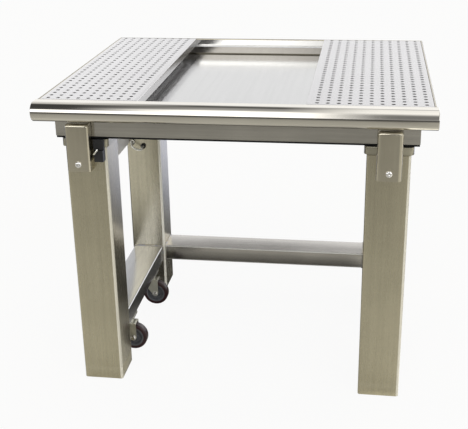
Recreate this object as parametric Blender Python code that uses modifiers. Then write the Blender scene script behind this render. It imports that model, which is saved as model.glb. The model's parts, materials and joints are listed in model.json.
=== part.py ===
"""Stainless vibration isolation table with a floating top, air isolators in its legs and casters.

Metres, +Z up. The origin is on the floor under the middle of the platform. The front of the
table, with the round nosed bar and the two restraint brackets, faces -Y.
"""
from math import cos, floor, pi, radians, sin

import bmesh
import bpy
from mathutils import Matrix, Vector

# Fits shared by every piece
GAP = 0.0003                    # between pieces that touch
RUNNING_GAP = 0.0006            # around pins and rods that turn or slide
OVERRUN = 0.004                 # how far a cutter passes the face that it cuts
WELD_DISTANCE = 0.00001         # below this, points of one mesh are one point

# Platform, the part that floats on the isolators
PLATFORM_WIDTH = 0.914
PLATFORM_DEPTH = 0.797          # nose of the front bar to the back of the rear rail
FLOAT_GAP = 0.0027              # clear height between the leg caps and the platform at rest

# Round nosed bar along the front edge
BAR_HEIGHT = 0.0455
BAR_DEPTH = 0.0475              # nose to the lip against the panels
BAR_OVERHANG = 0.003            # past the side rails, each end
BAR_SHEET = 0.003
NOSE_STEPS = 14

# Frame of side, rear and front rails that holds the tray and the panels
RAIL_WALL = 0.006
RAIL_LEDGE = 0.012

# Recessed tray
TRAY_SHEET = 0.0015

# Perforated panels on both sides of the recess
PANEL_SHEET = 0.002
PANEL_SKIRT = 0.020
PANEL_SEAM = 0.0005
LEFT_PANEL_WIDTH = 0.2331
RIGHT_PANEL_WIDTH = 0.2815
HOLE_PITCH_X = 0.0242
HOLE_PITCH_Y = 0.0240
HOLE_DIAMETER = 0.0095
HOLE_SIDES = 4
HOLE_OUTER_MARGIN = 0.0158
HOLE_INNER_MARGIN = 0.018
HOLE_FRONT_MARGIN = 0.0147
HOLE_REAR_MARGIN = 0.007

# Ribbed core under the tray, whose walls are the apron, and the plate on it
DECK_WIDTH = 0.852
DECK_DEPTH = 0.660
DECK_HEIGHT = 0.0484            # core and plate together
DECK_PLATE = 0.003
DECK_WALL = 0.003
DECK_LAP = 0.006                # of the deck plate under the ledges of the rails
RIB_THICKNESS = 0.004
POCKETS_ACROSS = 9
POCKETS_DEEP = 7

# Black damping sheet under the deck
BASE_SHEET = 0.0045
BASE_INSET = 0.001

# Legs
LEG_SPAN_X = 0.8166             # outside to outside
LEG_SPAN_Y = 0.646
LEG_WIDTH = 0.1016
LEG_HEIGHT = 0.6387
LEG_WALL = 0.0045
LEG_CORNER = 0.006
LEG_FLOOR = 0.008
CORNER_STEPS = 3

# Lower tie beams
BEAM_WIDTH = 0.089
BEAM_HEIGHT = 0.048
BEAM_WALL = 0.003
BEAM_CORNER = 0.004
BEAM_UNDERSIDE = 0.097          # above the floor

# Side panels between the legs, high up
SIDE_PANEL_HEIGHT = 0.158
SIDE_PANEL_SHEET = 0.003

# Isolators: a rubber diaphragm and a cap on each leg, and the piston that they hold
DIAPHRAGM_SHEET = 0.002
DIAPHRAGM_INSET = 0.0005        # inside the faces of the leg
DIAPHRAGM_SKIRT = 0.024         # how far its skirt hangs into the leg
DIAPHRAGM_CLEARANCE = 0.002     # from the piston's plate to the skirt
CAP_WIDTH = 0.114
CAP_THICKNESS = 0.019
CAP_CORNER = 0.012
CAP_BORE = 0.060
PISTON_DISC = 0.056
PISTON_DISC_HEIGHT = 0.009
PISTON_STEM = 0.022
PISTON_PLATE = 0.080
PISTON_PLATE_HEIGHT = 0.008
PISTON_LENGTH = 0.062
ROUND_STEPS = 12

# Restraint brackets on the front legs, with their bolts
BRACKET_WIDTH = 0.058
BRACKET_HEIGHT = 0.116
BRACKET_DEPTH = 0.0362
BRACKET_SHEET = 0.0025
BRACKET_BEND = 0.008
BRACKET_DROP = 0.0507           # its lower edge below the top of the leg
BRACKET_SHIFT_LEFT = 0.0095     # outward from the middle of the leg
BRACKET_SHIFT_RIGHT = 0.001
BRACKET_CLEARANCE = 0.002       # to the apron and the cap behind it
BOLT_HEIGHT = 0.018             # above the lower edge of the bracket
BOLT_DIAMETER = 0.008
BOLT_HEAD = 0.016
BOLT_HEAD_HEIGHT = 0.0045
BOLT_SOCKET = 0.006
BOLT_SOCKET_DEPTH = 0.003
BOLT_GRIP = 0.0075              # of the shank past the face of the leg
BOSS_DIAMETER = 0.022

# Levelling valves
VALVE_WIDTH = 0.022
VALVE_DEPTH = 0.020
VALVE_HEIGHT = 0.028
VALVE_OFFSET = 0.036            # from the middle of the leg towards the middle of the table
VALVE_TOP_DROP = 0.0048         # under the lower face of the cap
PLUNGER_DIAMETER = 0.006
PLUNGER_HEAD_WIDTH = 0.026
PLUNGER_HEAD_DEPTH = 0.009
PLUNGER_HEAD_GAP = 0.001        # above the valve body at rest
PLUNGER_TOE = 0.0018            # thickness of the toe that lies over the cap
PLUNGER_TOE_WIDTH = 0.014
PLUNGER_TOE_REACH = 0.008       # from the head, under the platform
PLUNGER_INSET = 0.012           # its axis from the face of the leg
PLUNGER_ENGAGEMENT = 0.016      # length inside the valve body at rest
PLUNGER_WELL = 0.024
BARB_DIAMETER = 0.005
BARB_LENGTH = 0.017
BARB_TILT = radians(40.0)
BARB_SHIFT = 0.006              # from the valve's axis, away from the middle of the table
BARB_DROP = 0.003               # under the top of the valve body

# Air line between two glands on the rear left leg
GLAND_DIAMETER = 0.016
GLAND_THICKNESS = 0.004
LINE_DIAMETER = 0.006
LINE_REACH = 0.020              # forward of the leg
LINE_SAG = 0.007
LINE_RUN = 0.032                # from gland to gland, towards the outer edge of the leg
LINE_RISE = 0.0115              # from gland to gland
LINE_HEIGHT = 0.471

# Retractable casters
CASTER_INSET = 0.0250           # of the kingpin from the middle of the leg, inwards
CASTER_FRONT_Y = -0.1575
CASTER_REAR_Y = 0.1150
WHEEL_DIAMETER = 0.075
WHEEL_WIDTH = 0.024
WHEEL_LIFT = 0.002              # above the floor when retracted
TREAD_THICKNESS = 0.0095
TREAD_ROUNDING = 0.004
HUB_RIM = 0.005
HUB_RECESS = 0.005
HUB_BOSS = 0.018
AXLE_DIAMETER = 0.010
AXLE_HEAD = 0.015
AXLE_HEAD_HEIGHT = 0.0045
CASTER_TRAIL = 0.018            # of every axle, to the right of its kingpin
FORK_SHEET = 0.003
FORK_CLEARANCE = 0.0015         # between a cheek and the hub
FORK_TOP_CLEARANCE = 0.0025     # between the tread and the top plate
FORK_BACK = 0.022               # of the top plate, behind the kingpin
FORK_FOOT = 0.018               # width of a cheek at the axle
KINGPIN_DIAMETER = 0.012
KINGPIN_COLLAR = 0.034
KINGPIN_HEAD = 0.018
KINGPIN_SINK = 0.0032           # depth of the recess for its head in the lift plate
LIFT_PLATE = 0.006
LIFT_PLATE_WIDTH = 0.076
LIFT_POST_DIAMETER = 0.016
LIFT_POST_HEIGHT = 0.034        # above the lift plate
WHEEL_STEPS = 16

# Levels, from the floor up
DIAPHRAGM_BOTTOM = LEG_HEIGHT + GAP
CAP_BOTTOM = DIAPHRAGM_BOTTOM + DIAPHRAGM_SHEET + GAP
CAP_TOP = CAP_BOTTOM + CAP_THICKNESS
BASE_BOTTOM = CAP_TOP + FLOAT_GAP
BASE_TOP = BASE_BOTTOM + BASE_SHEET
DECK_BOTTOM = BASE_TOP + GAP
DECK_TOP = DECK_BOTTOM + DECK_HEIGHT
CORE_TOP = DECK_TOP - DECK_PLATE - GAP
FRAME_BOTTOM = DECK_TOP + GAP
PLATFORM_TOP = FRAME_BOTTOM + BAR_HEIGHT
PANEL_BOTTOM = PLATFORM_TOP - PANEL_SKIRT
TRAY_RIM_TOP = PANEL_BOTTOM - GAP
TRAY_RIM_BOTTOM = TRAY_RIM_TOP - TRAY_SHEET
LEDGE_TOP = TRAY_RIM_BOTTOM - GAP
TRAY_FLOOR = FRAME_BOTTOM + TRAY_SHEET

# Lines across the platform
SIDE_X = PLATFORM_WIDTH / 2
NOSE_Y = -PLATFORM_DEPTH / 2
REAR_Y = PLATFORM_DEPTH / 2
LIP_BACK_Y = NOSE_Y + BAR_DEPTH
RAIL_FRONT_Y = LIP_BACK_Y - BAR_SHEET
POCKET_X = SIDE_X - RAIL_WALL
POCKET_REAR_Y = REAR_Y - RAIL_WALL
POCKET_FRONT_Y = LIP_BACK_Y + GAP
WELL_X = POCKET_X - RAIL_LEDGE
WELL_REAR_Y = POCKET_REAR_Y - RAIL_LEDGE
WELL_FRONT_Y = RAIL_FRONT_Y + RAIL_LEDGE

# Middles of the legs
LEG_X = (LEG_SPAN_X - LEG_WIDTH) / 2
LEG_Y = (LEG_SPAN_Y - LEG_WIDTH) / 2

SIDES = {"left": -1, "right": 1}
ENDS = {"front": -1, "rear": 1}
CASTER_Y = {"front": CASTER_FRONT_Y, "rear": CASTER_REAR_Y}

# Colour, metallic and roughness of each finish
FINISHES = {
    "brushed_stainless": ((0.55, 0.54, 0.50), 1.0, 0.32),
    "polished_stainless": ((0.72, 0.71, 0.68), 1.0, 0.12),
    "perforated_stainless": ((0.80, 0.80, 0.79), 1.0, 0.38),
    "black_sheet": ((0.012, 0.012, 0.012), 0.0, 0.70),
    "black_rubber": ((0.015, 0.015, 0.015), 0.0, 0.60),
    "black_valve": ((0.02, 0.02, 0.022), 0.0, 0.45),
    "zinc_steel": ((0.50, 0.50, 0.48), 1.0, 0.35),
    "wheel_grey": ((0.13, 0.13, 0.14), 0.0, 0.50),
    "tread_maroon": ((0.085, 0.012, 0.016), 0.0, 0.42),
    "clear_line": ((0.72, 0.72, 0.66), 0.0, 0.30),
}


def clear_scene():
    """Remove every object that the file holds."""
    for item in list(bpy.data.objects):
        bpy.data.objects.remove(item, do_unlink=True)


def make_collection(name):
    """Make a collection in the scene."""
    collection = bpy.data.collections.new(name)
    bpy.context.scene.collection.children.link(collection)
    return collection


clear_scene()
PARTS = make_collection("vibration_isolation_table")
CUTTERS = make_collection("cutters")


def make_material(name, finish):
    """Make one object's own Principled material from a finish."""
    colour, metallic, roughness = FINISHES[finish]
    material = bpy.data.materials.new(name)
    material.use_nodes = True
    shader = material.node_tree.nodes["Principled BSDF"]
    shader.inputs["Base Color"].default_value = (*colour, 1.0)
    shader.inputs["Metallic"].default_value = metallic
    shader.inputs["Roughness"].default_value = roughness
    return material


def world_place(item):
    """Where an object without rotated parents stands in the world."""
    place = item.location.copy()
    while item.parent is not None:
        item = item.parent
        place += item.location
    return place


def attach(item, parent, location):
    """Parent an object and put it at a place given in world coordinates."""
    place = Vector(location)
    if parent is not None:
        item.parent = parent
        place = place - world_place(parent)
    item.location = place


def add_part(name, mesh, finish, location=(0.0, 0.0, 0.0), parent=None):
    """Add a finished mesh as one sub-part."""
    item = bpy.data.objects.new(name, mesh)
    PARTS.objects.link(item)
    mesh.materials.append(make_material(name + "_finish", finish))
    attach(item, parent, location)
    return item


def add_pivot(name, location, parent=None):
    """Add an empty on a joint's axis."""
    pivot = bpy.data.objects.new(name, None)
    PARTS.objects.link(pivot)
    attach(pivot, parent, location)
    return pivot


def finish_mesh(work, name):
    """Turn a bmesh into a mesh."""
    bmesh.ops.recalc_face_normals(work, faces=work.faces)
    mesh = bpy.data.meshes.new(name)
    work.to_mesh(mesh)
    work.free()
    return mesh


def add_box(work, low, high):
    """Add a box between two corners to a bmesh."""
    size = Vector(high) - Vector(low)
    middle = (Vector(high) + Vector(low)) / 2
    shape = Matrix.Translation(middle) @ Matrix.Diagonal((*size, 1.0))
    bmesh.ops.create_cube(work, size=1.0, matrix=shape)


def box_mesh(name, low, high):
    """A box between two corners."""
    work = bmesh.new()
    add_box(work, low, high)
    return finish_mesh(work, name)


def rounded_prism_mesh(name, low, high, radius, steps):
    """A box between two corners whose four upright edges are rounded."""
    work = bmesh.new()
    add_box(work, low, high)
    upright = [edge for edge in work.edges
               if abs(edge.verts[0].co.x - edge.verts[1].co.x) < GAP
               and abs(edge.verts[0].co.y - edge.verts[1].co.y) < GAP]
    bmesh.ops.bevel(work, geom=upright, offset=radius, segments=steps, affect="EDGES", profile=0.5)
    return finish_mesh(work, name)


def add_cylinder(work, radius, low, high, sides, turn=0.0):
    """Add an upright cylinder about the Z axis to a bmesh."""
    shape = Matrix.Translation((0.0, 0.0, (low + high) / 2)) @ Matrix.Rotation(turn, 4, "Z")
    bmesh.ops.create_cone(work, cap_ends=True, segments=sides, radius1=radius, radius2=radius,
                          depth=high - low, matrix=shape)


def cylinder_mesh(name, radius, low, high, sides, turn=0.0):
    """An upright cylinder about the Z axis."""
    work = bmesh.new()
    add_cylinder(work, radius, low, high, sides, turn)
    return finish_mesh(work, name)


def turned_object(name, profile, steps):
    """Turn a profile of (radius, height) points, given from top to bottom, about the Z axis."""
    mesh = bpy.data.meshes.new(name)
    points = [(radius, 0.0, height) for radius, height in profile]
    edges = [(index, index + 1) for index in range(len(points) - 1)]
    closed_ring = profile[0][0] > 0.0
    if closed_ring:
        edges.append((len(points) - 1, 0))
    mesh.from_pydata(points, edges, [])
    item = bpy.data.objects.new(name, mesh)
    screw = item.modifiers.new("turn", "SCREW")
    screw.steps = steps
    screw.render_steps = steps
    screw.use_merge_vertices = True
    screw.merge_threshold = WELD_DISTANCE
    screw.use_smooth_shade = False
    return item


def outline_mesh(name, points, thickness):
    """A flat plate from an outline in its own XY plane, centred on that plane."""
    curve = bpy.data.curves.new(name, "CURVE")
    curve.dimensions = "2D"
    curve.fill_mode = "BOTH"
    curve.extrude = thickness / 2
    spline = curve.splines.new("POLY")
    spline.points.add(len(points) - 1)
    for point, (across, along) in zip(spline.points, points):
        point.co = (across, along, 0.0, 1.0)
    spline.use_cyclic_u = True
    return curve_mesh(name, curve)


def curve_mesh(name, curve):
    """Mesh of a curve, with its caps welded on."""
    item = bpy.data.objects.new(name + "_curve", curve)
    bpy.context.scene.collection.objects.link(item)
    graph = bpy.context.evaluated_depsgraph_get()
    graph.update()
    mesh = bpy.data.meshes.new_from_object(item.evaluated_get(graph))
    bpy.data.objects.remove(item, do_unlink=True)
    work = bmesh.new()
    work.from_mesh(mesh)
    bmesh.ops.remove_doubles(work, verts=work.verts, dist=WELD_DISTANCE)
    bpy.data.meshes.remove(mesh)
    return finish_mesh(work, name)


def arc(middle, radius, start, end, steps):
    """Points on an arc, both ends included."""
    turns = [start + (end - start) * index / steps for index in range(steps + 1)]
    return [(middle[0] + radius * cos(turn), middle[1] + radius * sin(turn)) for turn in turns]


def add_guide(target, item, shape=None):
    """Keep a cutter with the object that it shapes, out of sight."""
    CUTTERS.objects.link(item)
    item.parent = target
    if shape is not None:
        item.matrix_local = shape
    item.hide_render = True
    item.display_type = "WIRE"


def shape_with(target, source, operation, shape=None):
    """Cut or join a mesh, or an object that makes one, with a target's solid."""
    item = source
    if isinstance(source, bpy.types.Mesh):
        item = bpy.data.objects.new(source.name, source)
    add_guide(target, item, shape)
    modifier = target.modifiers.new(item.name, "BOOLEAN")
    modifier.operation = operation
    modifier.solver = "EXACT"
    modifier.object = item
    return item


def cut(target, source, shape=None):
    """Cut a shape out of a target."""
    return shape_with(target, source, "DIFFERENCE", shape)


def join(target, source, shape=None):
    """Join a shape to a target."""
    return shape_with(target, source, "UNION", shape)


def smooth(item, angle=35.0):
    """Shade a round piece smooth, with its edges kept sharp."""
    item.data.shade_smooth()
    item.data.set_sharp_from_angle(angle=radians(angle))


def build_leg(side, end):
    """A square tube leg, closed at the floor and open at the top as the air chamber."""
    name = "leg_" + end + "_" + side
    half = LEG_WIDTH / 2
    mesh = rounded_prism_mesh(name, (-half, -half, 0.0), (half, half, LEG_HEIGHT), LEG_CORNER, CORNER_STEPS)
    leg = add_part(name, mesh, "brushed_stainless", (SIDES[side] * LEG_X, ENDS[end] * LEG_Y, 0.0))
    inner = half - LEG_WALL
    bore = rounded_prism_mesh(name + "_bore", (-inner, -inner, LEG_FLOOR), (inner, inner, LEG_HEIGHT + OVERRUN),
                              LEG_CORNER - LEG_WALL, 1)
    cut(leg, bore)
    if end == "front":
        across = bracket_x(side) - SIDES[side] * LEG_X
        bolt_hole = cylinder_mesh(name + "_bolt_hole", BOLT_DIAMETER / 2 + RUNNING_GAP,
                                  half - LEG_WALL - OVERRUN, half + OVERRUN, ROUND_STEPS)
        cut(leg, bolt_hole, Matrix.Translation((across, 0.0, bolt_z())) @ Matrix.Rotation(pi / 2, 4, "X"))
    if end == "rear" and side == "left":
        line_hole = cylinder_mesh(name + "_line_hole", LINE_DIAMETER / 2 + RUNNING_GAP,
                                  half - LEG_WALL - OVERRUN, half + OVERRUN, ROUND_STEPS)
        for across, up in ((0.0, LINE_HEIGHT), (-LINE_RUN, LINE_HEIGHT + LINE_RISE)):
            cut(leg, line_hole, Matrix.Translation((across, 0.0, up)) @ Matrix.Rotation(pi / 2, 4, "X"))
    return leg


def beam_object(name, length, location, turned):
    """A rectangular tube that lies along X, or along Y when turned."""
    half_width = BEAM_WIDTH / 2
    half_height = BEAM_HEIGHT / 2
    half_length = length / 2
    mesh = rounded_prism_mesh(name, (-half_height, -half_width, -half_length),
                              (half_height, half_width, half_length), BEAM_CORNER, 2)
    bore = rounded_prism_mesh(name + "_bore",
                              (BEAM_WALL - half_height, BEAM_WALL - half_width, -half_length - OVERRUN),
                              (half_height - BEAM_WALL, half_width - BEAM_WALL, half_length + OVERRUN),
                              BEAM_CORNER - BEAM_WALL, 1)
    lay_down = Matrix.Rotation(pi / 2, 4, "Y")
    if turned:
        lay_down = Matrix.Rotation(pi / 2, 4, "Z") @ lay_down
    for shape in (mesh, bore):
        shape.transform(lay_down)
    beam = add_part(name, mesh, "brushed_stainless", location)
    cut(beam, bore)
    return beam


def build_beams():
    """Two side beams and a rear beam between the legs. The side beams guide the caster lifts."""
    middle_z = BEAM_UNDERSIDE + BEAM_HEIGHT / 2
    side_length = 2 * LEG_Y - LEG_WIDTH - 2 * GAP
    rear_length = 2 * LEG_X - LEG_WIDTH - 2 * GAP
    for side, sign in SIDES.items():
        beam = beam_object("lower_beam_" + side, side_length, (sign * LEG_X, 0.0, middle_z), True)
        for end, along in CASTER_Y.items():
            hole = cylinder_mesh("post_hole_" + end + "_" + side, LIFT_POST_DIAMETER / 2 + RUNNING_GAP,
                                 -BEAM_HEIGHT / 2 - OVERRUN, BEAM_WALL + OVERRUN - BEAM_HEIGHT / 2, ROUND_STEPS)
            cut(beam, hole, Matrix.Translation((0.0, along, 0.0)))
    beam_object("lower_beam_rear", rear_length, (0.0, LEG_Y, middle_z), False)


def build_side_panels():
    """Stiffening sheets between the front and rear legs, on the flat of the legs by their outer corners."""
    outer = LEG_SPAN_X / 2 - LEG_CORNER
    reach = LEG_Y - LEG_WIDTH / 2 - GAP
    for side, sign in SIDES.items():
        low = (-SIDE_PANEL_SHEET / 2, -reach, LEG_HEIGHT - SIDE_PANEL_HEIGHT)
        high = (SIDE_PANEL_SHEET / 2, reach, LEG_HEIGHT)
        mesh = box_mesh("side_panel_" + side, low, high)
        add_part("side_panel_" + side, mesh, "brushed_stainless", (sign * (outer - SIDE_PANEL_SHEET / 2), 0.0, 0.0))


def build_diaphragm(side, end):
    """Rubber diaphragm clamped between leg and cap, with a skirt that hangs around the piston's plate."""
    name = "isolator_diaphragm_" + end + "_" + side
    half = LEG_WIDTH / 2 - DIAPHRAGM_INSET
    mesh = rounded_prism_mesh(name, (-half, -half, 0.0), (half, half, DIAPHRAGM_SHEET),
                              LEG_CORNER - DIAPHRAGM_INSET, CORNER_STEPS)
    sheet = add_part(name, mesh, "black_rubber", (SIDES[side] * LEG_X, ENDS[end] * LEG_Y, DIAPHRAGM_BOTTOM))
    bore = PISTON_PLATE / 2 + DIAPHRAGM_CLEARANCE
    join(sheet, cylinder_mesh(name + "_skirt", bore + DIAPHRAGM_SHEET, -DIAPHRAGM_SKIRT, DIAPHRAGM_SHEET / 2,
                              ROUND_STEPS))
    cut(sheet, cylinder_mesh(name + "_bore", bore, -DIAPHRAGM_SKIRT - OVERRUN, DIAPHRAGM_SHEET + OVERRUN,
                             ROUND_STEPS))
    return sheet


def build_cap(side, end):
    """Clamp plate on a leg, with the bore that the piston comes through."""
    name = "isolator_cap_" + end + "_" + side
    half = CAP_WIDTH / 2
    mesh = rounded_prism_mesh(name, (-half, -half, 0.0), (half, half, CAP_THICKNESS), CAP_CORNER, CORNER_STEPS)
    place = (SIDES[side] * LEG_X, ENDS[end] * LEG_Y, CAP_BOTTOM)
    cap = add_part(name, mesh, "brushed_stainless", place)
    cut(cap, cylinder_mesh(name + "_bore", CAP_BORE / 2, -OVERRUN, CAP_THICKNESS + OVERRUN, ROUND_STEPS))
    return cap


def build_piston(side, end, platform):
    """Piston with its load disc under the platform and its plate inside the leg."""
    name = "isolator_piston_" + end + "_" + side
    disc = PISTON_DISC / 2
    stem = PISTON_STEM / 2
    plate = PISTON_PLATE / 2
    profile = [
        (0.0, 0.0),
        (disc, 0.0),
        (disc, -PISTON_DISC_HEIGHT),
        (stem, -PISTON_DISC_HEIGHT),
        (stem, PISTON_PLATE_HEIGHT - PISTON_LENGTH),
        (plate, PISTON_PLATE_HEIGHT - PISTON_LENGTH),
        (plate, -PISTON_LENGTH),
        (0.0, -PISTON_LENGTH),
    ]
    item = turned_object(name, profile, ROUND_STEPS)
    PARTS.objects.link(item)
    item.data.materials.append(make_material(name + "_finish", "zinc_steel"))
    attach(item, platform, (SIDES[side] * LEG_X, ENDS[end] * LEG_Y, BASE_BOTTOM - GAP))


def bracket_x(side):
    """Middle of a restraint bracket across the table."""
    shift = BRACKET_SHIFT_LEFT if side == "left" else BRACKET_SHIFT_RIGHT
    return SIDES[side] * (LEG_X + shift)


def bracket_bottom():
    """Lower edge of the restraint brackets."""
    return LEG_HEIGHT - BRACKET_DROP


def bolt_z():
    """Height of the bracket bolts."""
    return bracket_bottom() + BOLT_HEIGHT


def build_bracket(side):
    """Folded cover that stands in front of the apron, with a boss for its bolt against the leg."""
    name = "restraint_bracket_" + side
    half = BRACKET_WIDTH / 2
    leg_face = -GAP
    front = leg_face - BRACKET_DEPTH
    work = bmesh.new()
    add_box(work, (-half, front, 0.0), (half, leg_face, BRACKET_HEIGHT))
    bends = [edge for edge in work.edges
             if all(abs(vert.co.y - front) < GAP for vert in edge.verts)
             and edge.verts[0].co.x * edge.verts[1].co.x > 0.0]
    bmesh.ops.bevel(work, geom=bends, offset=BRACKET_BEND, segments=CORNER_STEPS, affect="EDGES", profile=0.5)
    mesh = finish_mesh(work, name)
    place = (bracket_x(side), -LEG_SPAN_Y / 2, bracket_bottom())
    bracket = add_part(name, mesh, "brushed_stainless", place)

    inner = half - BRACKET_SHEET
    work = bmesh.new()
    add_box(work, (-inner, front + BRACKET_SHEET, -OVERRUN),
            (inner, leg_face + OVERRUN, BRACKET_HEIGHT - BRACKET_SHEET))
    inner_front = front + BRACKET_SHEET
    bends = [edge for edge in work.edges
             if all(abs(vert.co.y - inner_front) < GAP for vert in edge.verts)
             and edge.verts[0].co.x * edge.verts[1].co.x > 0.0]
    bmesh.ops.bevel(work, geom=bends, offset=BRACKET_BEND - BRACKET_SHEET, segments=CORNER_STEPS,
                    affect="EDGES", profile=0.5)
    cut(bracket, finish_mesh(work, name + "_hollow"))

    toward_front = Matrix.Rotation(pi / 2, 4, "X")
    at_bolt = Matrix.Translation((0.0, 0.0, BOLT_HEIGHT)) @ toward_front
    boss_low = -leg_face
    boss_high = -front - BRACKET_SHEET / 2
    join(bracket, cylinder_mesh(name + "_boss", BOSS_DIAMETER / 2, boss_low, boss_high, ROUND_STEPS), at_bolt)
    cut(bracket, cylinder_mesh(name + "_bore", BOLT_DIAMETER / 2 + RUNNING_GAP, -OVERRUN,
                               -front + OVERRUN, ROUND_STEPS), at_bolt)

    apron_front = LEG_SPAN_Y / 2 - DECK_DEPTH / 2 - BRACKET_CLEARANCE
    notch_low = CAP_BOTTOM - BRACKET_CLEARANCE - bracket_bottom()
    cut(bracket, box_mesh(name + "_notch", (-half - OVERRUN, apron_front, notch_low),
                          (half + OVERRUN, OVERRUN, BRACKET_HEIGHT + OVERRUN)))
    return bracket


def build_bolt(side):
    """Socket button head bolt through the bracket's boss into the leg."""
    name = "bracket_bolt_" + side
    head = BOLT_HEAD / 2
    shank = BOLT_DIAMETER / 2
    seat = -BRACKET_DEPTH - 2 * GAP
    dome = arc((0.0, 0.0), 1.0, pi / 2, 0.0, 4)
    profile = [(head * across, BOLT_HEAD_HEIGHT * along - seat) for across, along in dome]
    profile[0] = (0.0, profile[0][1])
    profile += [(shank, -seat), (shank, -BOLT_GRIP), (0.0, -BOLT_GRIP)]
    bolt = turned_object(name, profile, ROUND_STEPS)
    PARTS.objects.link(bolt)
    bolt.data.materials.append(make_material(name + "_finish", "polished_stainless"))
    attach(bolt, None, (bracket_x(side), -LEG_SPAN_Y / 2, bolt_z()))
    bolt.rotation_euler = (pi / 2, 0.0, 0.0)
    top = BOLT_HEAD_HEIGHT - seat
    cut(bolt, cylinder_mesh(name + "_socket", BOLT_SOCKET / 2, top - BOLT_SOCKET_DEPTH, top + OVERRUN, 6))
    return bolt


def bar_outline(inset):
    """Round nose of the front bar in (Y, Z), from top to bottom, drawn in by an inset."""
    radius = BAR_HEIGHT / 2
    middle = (NOSE_Y + radius, FRAME_BOTTOM + radius)
    return arc(middle, radius - inset, pi / 2, 3 * pi / 2, NOSE_STEPS)


def build_bar(platform):
    """Round nosed bar: a closed ended channel that is open towards the front rail."""
    nose = bar_outline(0.0)
    back_low = RAIL_FRONT_Y - GAP
    lip_bottom = LEDGE_TOP + GAP
    outline = nose + [(back_low, FRAME_BOTTOM), (back_low, lip_bottom), (LIP_BACK_Y, lip_bottom),
                      (LIP_BACK_Y, PLATFORM_TOP)]
    length = PLATFORM_WIDTH + 2 * BAR_OVERHANG
    along_x = Matrix.Rotation(pi / 2, 4, "Z") @ Matrix.Rotation(pi / 2, 4, "X")
    mesh = outline_mesh("front_bar", outline, length)
    mesh.transform(along_x)
    bar = add_part("front_bar", mesh, "polished_stainless", parent=platform)

    hollow = bar_outline(BAR_SHEET)
    inner_top = PLATFORM_TOP - BAR_SHEET
    hollow += [(RAIL_FRONT_Y + OVERRUN, FRAME_BOTTOM + BAR_SHEET), (RAIL_FRONT_Y + OVERRUN, lip_bottom),
               (RAIL_FRONT_Y, lip_bottom), (RAIL_FRONT_Y, inner_top)]
    cutter = outline_mesh("front_bar_hollow", hollow, length - 2 * BAR_SHEET)
    cutter.transform(along_x)
    cut(bar, cutter)
    return bar


def build_frame(platform):
    """Side and rear rails with an upstand and a ledge, and a plain front rail, welded into a ring."""
    low = (-SIDE_X, RAIL_FRONT_Y, FRAME_BOTTOM)
    high = (SIDE_X, REAR_Y, PLATFORM_TOP)
    frame = add_part("top_frame", box_mesh("top_frame", low, high), "polished_stainless", parent=platform)
    beyond = PLATFORM_TOP + OVERRUN
    cut(frame, box_mesh("frame_well", (-WELL_X, WELL_FRONT_Y, FRAME_BOTTOM - OVERRUN),
                        (WELL_X, WELL_REAR_Y, beyond)))
    cut(frame, box_mesh("frame_pocket", (-POCKET_X, RAIL_FRONT_Y - OVERRUN, LEDGE_TOP),
                        (POCKET_X, POCKET_REAR_Y, beyond)))
    cut(frame, box_mesh("frame_front", (-SIDE_X - OVERRUN, RAIL_FRONT_Y - OVERRUN, LEDGE_TOP),
                        (SIDE_X + OVERRUN, POCKET_FRONT_Y, beyond + OVERRUN)))
    return frame


def build_tray(platform):
    """Folded tray whose rim lies on the ledges and whose floor lies on the deck."""
    tray = add_part("recess_tray", box_mesh("recess_tray", (GAP - WELL_X, WELL_FRONT_Y + GAP, FRAME_BOTTOM),
                                            (WELL_X - GAP, WELL_REAR_Y - GAP, TRAY_RIM_TOP)),
                    "polished_stainless", parent=platform)
    join(tray, box_mesh("tray_rim", (GAP - POCKET_X, POCKET_FRONT_Y, TRAY_RIM_BOTTOM),
                        (POCKET_X - GAP, POCKET_REAR_Y - GAP, TRAY_RIM_TOP)))
    wall = GAP + TRAY_SHEET
    cut(tray, box_mesh("tray_hollow", (wall - WELL_X, WELL_FRONT_Y + wall, TRAY_FLOOR),
                       (WELL_X - wall, WELL_REAR_Y - wall, TRAY_RIM_TOP + OVERRUN)))
    return tray


def hole_places(width, depth, outer_sign):
    """Centres of a panel's holes in (X, Y), from its outer front corner, for a panel of this size."""
    columns = floor((width - HOLE_OUTER_MARGIN - HOLE_INNER_MARGIN) / HOLE_PITCH_X) + 1
    rows = floor((depth - HOLE_FRONT_MARGIN - HOLE_REAR_MARGIN) / HOLE_PITCH_Y) + 1
    first_x = outer_sign * (width / 2 - HOLE_OUTER_MARGIN)
    first_y = HOLE_FRONT_MARGIN - depth / 2
    return [(first_x - outer_sign * column * HOLE_PITCH_X, first_y + row * HOLE_PITCH_Y)
            for row in range(rows) for column in range(columns)]


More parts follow.
